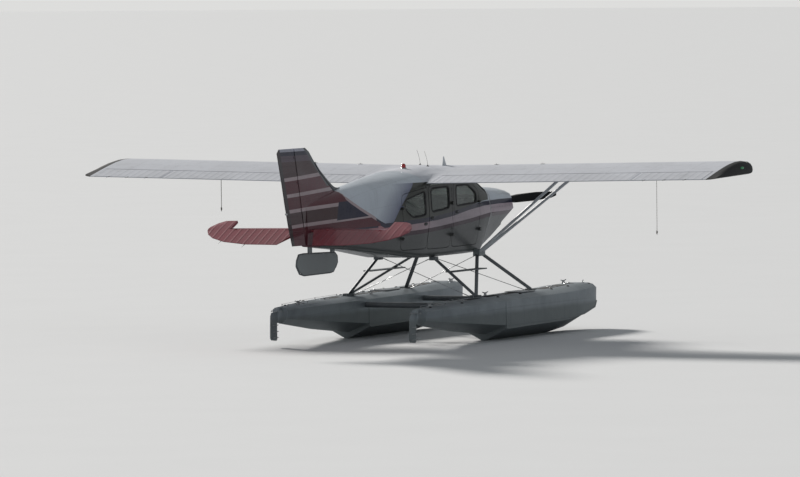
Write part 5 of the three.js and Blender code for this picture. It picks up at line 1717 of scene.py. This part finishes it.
# the cables' guide posts: station, and how far from the float's middle on each hand
GUIDES = ((2.75, 0.075), (3.45, 0.075), (4.00, 0.075), (4.55, 0.045))
for side, sign in (("left", 1), ("right", -1)):
    hull, tail = f"float_{side}", f"water_rudder_{side}"
    middle = FLOAT_MIDDLE * sign
    rails = []
    for hand in (1, -1):
        path = []
        for (s0, z0, h0), (s1, z1, h1) in zip(CHINE, CHINE[1:]):
            for k in range(6):
                u = k / 6
                path.append((middle + hand * (h0 + (h1 - h0) * u), aft(s0 + (s1 - s0) * u), z0 + (z1 - z0) * u))
        station, height, half = CHINE[-1]
        path.append((middle + hand * half, aft(station), height))
        section = [(a * -hand, b) for a, b in RAIL_SECTION][:: -hand]
        rails.append(swept("rail", path, section, smooth=False))
        angle = []
        for k in range(30):
            spot, _ = lifted_onto(hull, middle + hand * 0.040, aft(0.55 + (2.56 - 0.55) * k / 29))
            angle.append((spot.x, spot.y, max(spot.z - 0.0005, 0.0035)))
        rails.append(ribbon("angle", angle, 0.012, -0.003))
    gathered(f"float_rails_{side}", rails, float_sheet)
    spot, out = lowered_onto(hull, middle, aft(-0.86))
    eye_ring = [spot + Vector((0, a, 0.020 + b)) for a, b in ring_section(0.016, 20)]
    bow = [
        swept("eye", eye_ring, ring_section(0.0045, 10), closed=True),
        turned("foot", EYE_FOOT, spot, out, 20),
    ]
    plated(f"bow_eye_{side}", bow)
    top = lowered_onto(tail, middle, aft(4.815))[0].z
    low, high = (middle - 0.085, aft(4.800), top + 0.0005), (middle + 0.085, aft(4.830), top + 0.0055)
    tiller = [plate("tiller", low, high, 0.002)]
    for x in (-0.075, 0.075):
        tiller.append(turned("pin", TILLER_PIN, (middle + x, aft(4.815), top + 0.005), sides=14))
    for hand in (1, -1):
        x = middle + hand * 0.0180
        for level in (0.30, 0.21, 0.13):
            low, high = (x - 0.0022, aft(4.800), level), (x + 0.0022, aft(4.985), level + 0.012)
            tiller.append(plate("stiffener", low, high, 0.0015))
    plated(f"water_rudder_fittings_{side}", tiller, tail)
    guides = []
    for station, reach in GUIDES:
        for x in (-reach, reach):
            spot, _ = lowered_onto(hull, middle + x, aft(station))
            guides.append(turned("post", POST, spot, sides=14))
    for hand in (-1, 1):
        line = []
        for station, reach in GUIDES:
            spot, _ = lowered_onto(hull, middle + hand * reach, aft(station))
            line.append(spot + Vector((0, 0, 0.026)))
        guides.append(swept("cable", line, ring_section(0.0018, 8)))
    plated(f"steering_cables_{side}", guides)


# Nose: plated screws round the spinner's foot, and an air intake in the cowl's front below,
# with a lip of painted sheet and a screen of plated wire.
SPINNER_SCREW = [(0.0068, -0.0005), (0.0062, 0.0018), (0.0030, 0.0026), (0.0, 0.0022)]
screws = []
base = Vector((0, aft(0.165), 1.830))
for k in range(14):
    t = turn(k + 0.5, 14)
    way = Vector((math.cos(t), 0, math.sin(t)))
    spot, out = met("spinner", base + way * 0.5, -way)
    screws.append(turned("screw", SPINNER_SCREW, spot, out, 14))
plated("spinner_screws", screws, "propeller")


def ahead_of_cowl(x, z, gap):
    """A point a little ahead of the cowl's front, at a place seen from ahead."""
    return met("cowling", (x, -4.0, z), (0, 1, 0))[0] + Vector((0, -gap, 0))


intake = [ahead_of_cowl(a, 1.545 + b, 0.004) for a, b in squared_ring(0.105, 0.036, 0.5, 40)]
wires = []
for k in range(17):
    row = [ahead_of_cowl(-0.088 + 0.011 * k, 1.513 + 0.016 * m, 0.002) for m in range(5)]
    wires.append(swept("wire", row, ring_section(0.0012, 6)))
for m in range(6):
    row = [ahead_of_cowl(-0.096 + 0.016 * k, 1.517 + 0.0112 * m, 0.0035) for k in range(13)]
    wires.append(swept("wire", row, ring_section(0.0012, 6)))
lip = swept("air_intake_lip", intake, ring_section(0.0075, 12), closed=True)
fitted(lip, plain_white)
plated("air_intake_screen", wires)
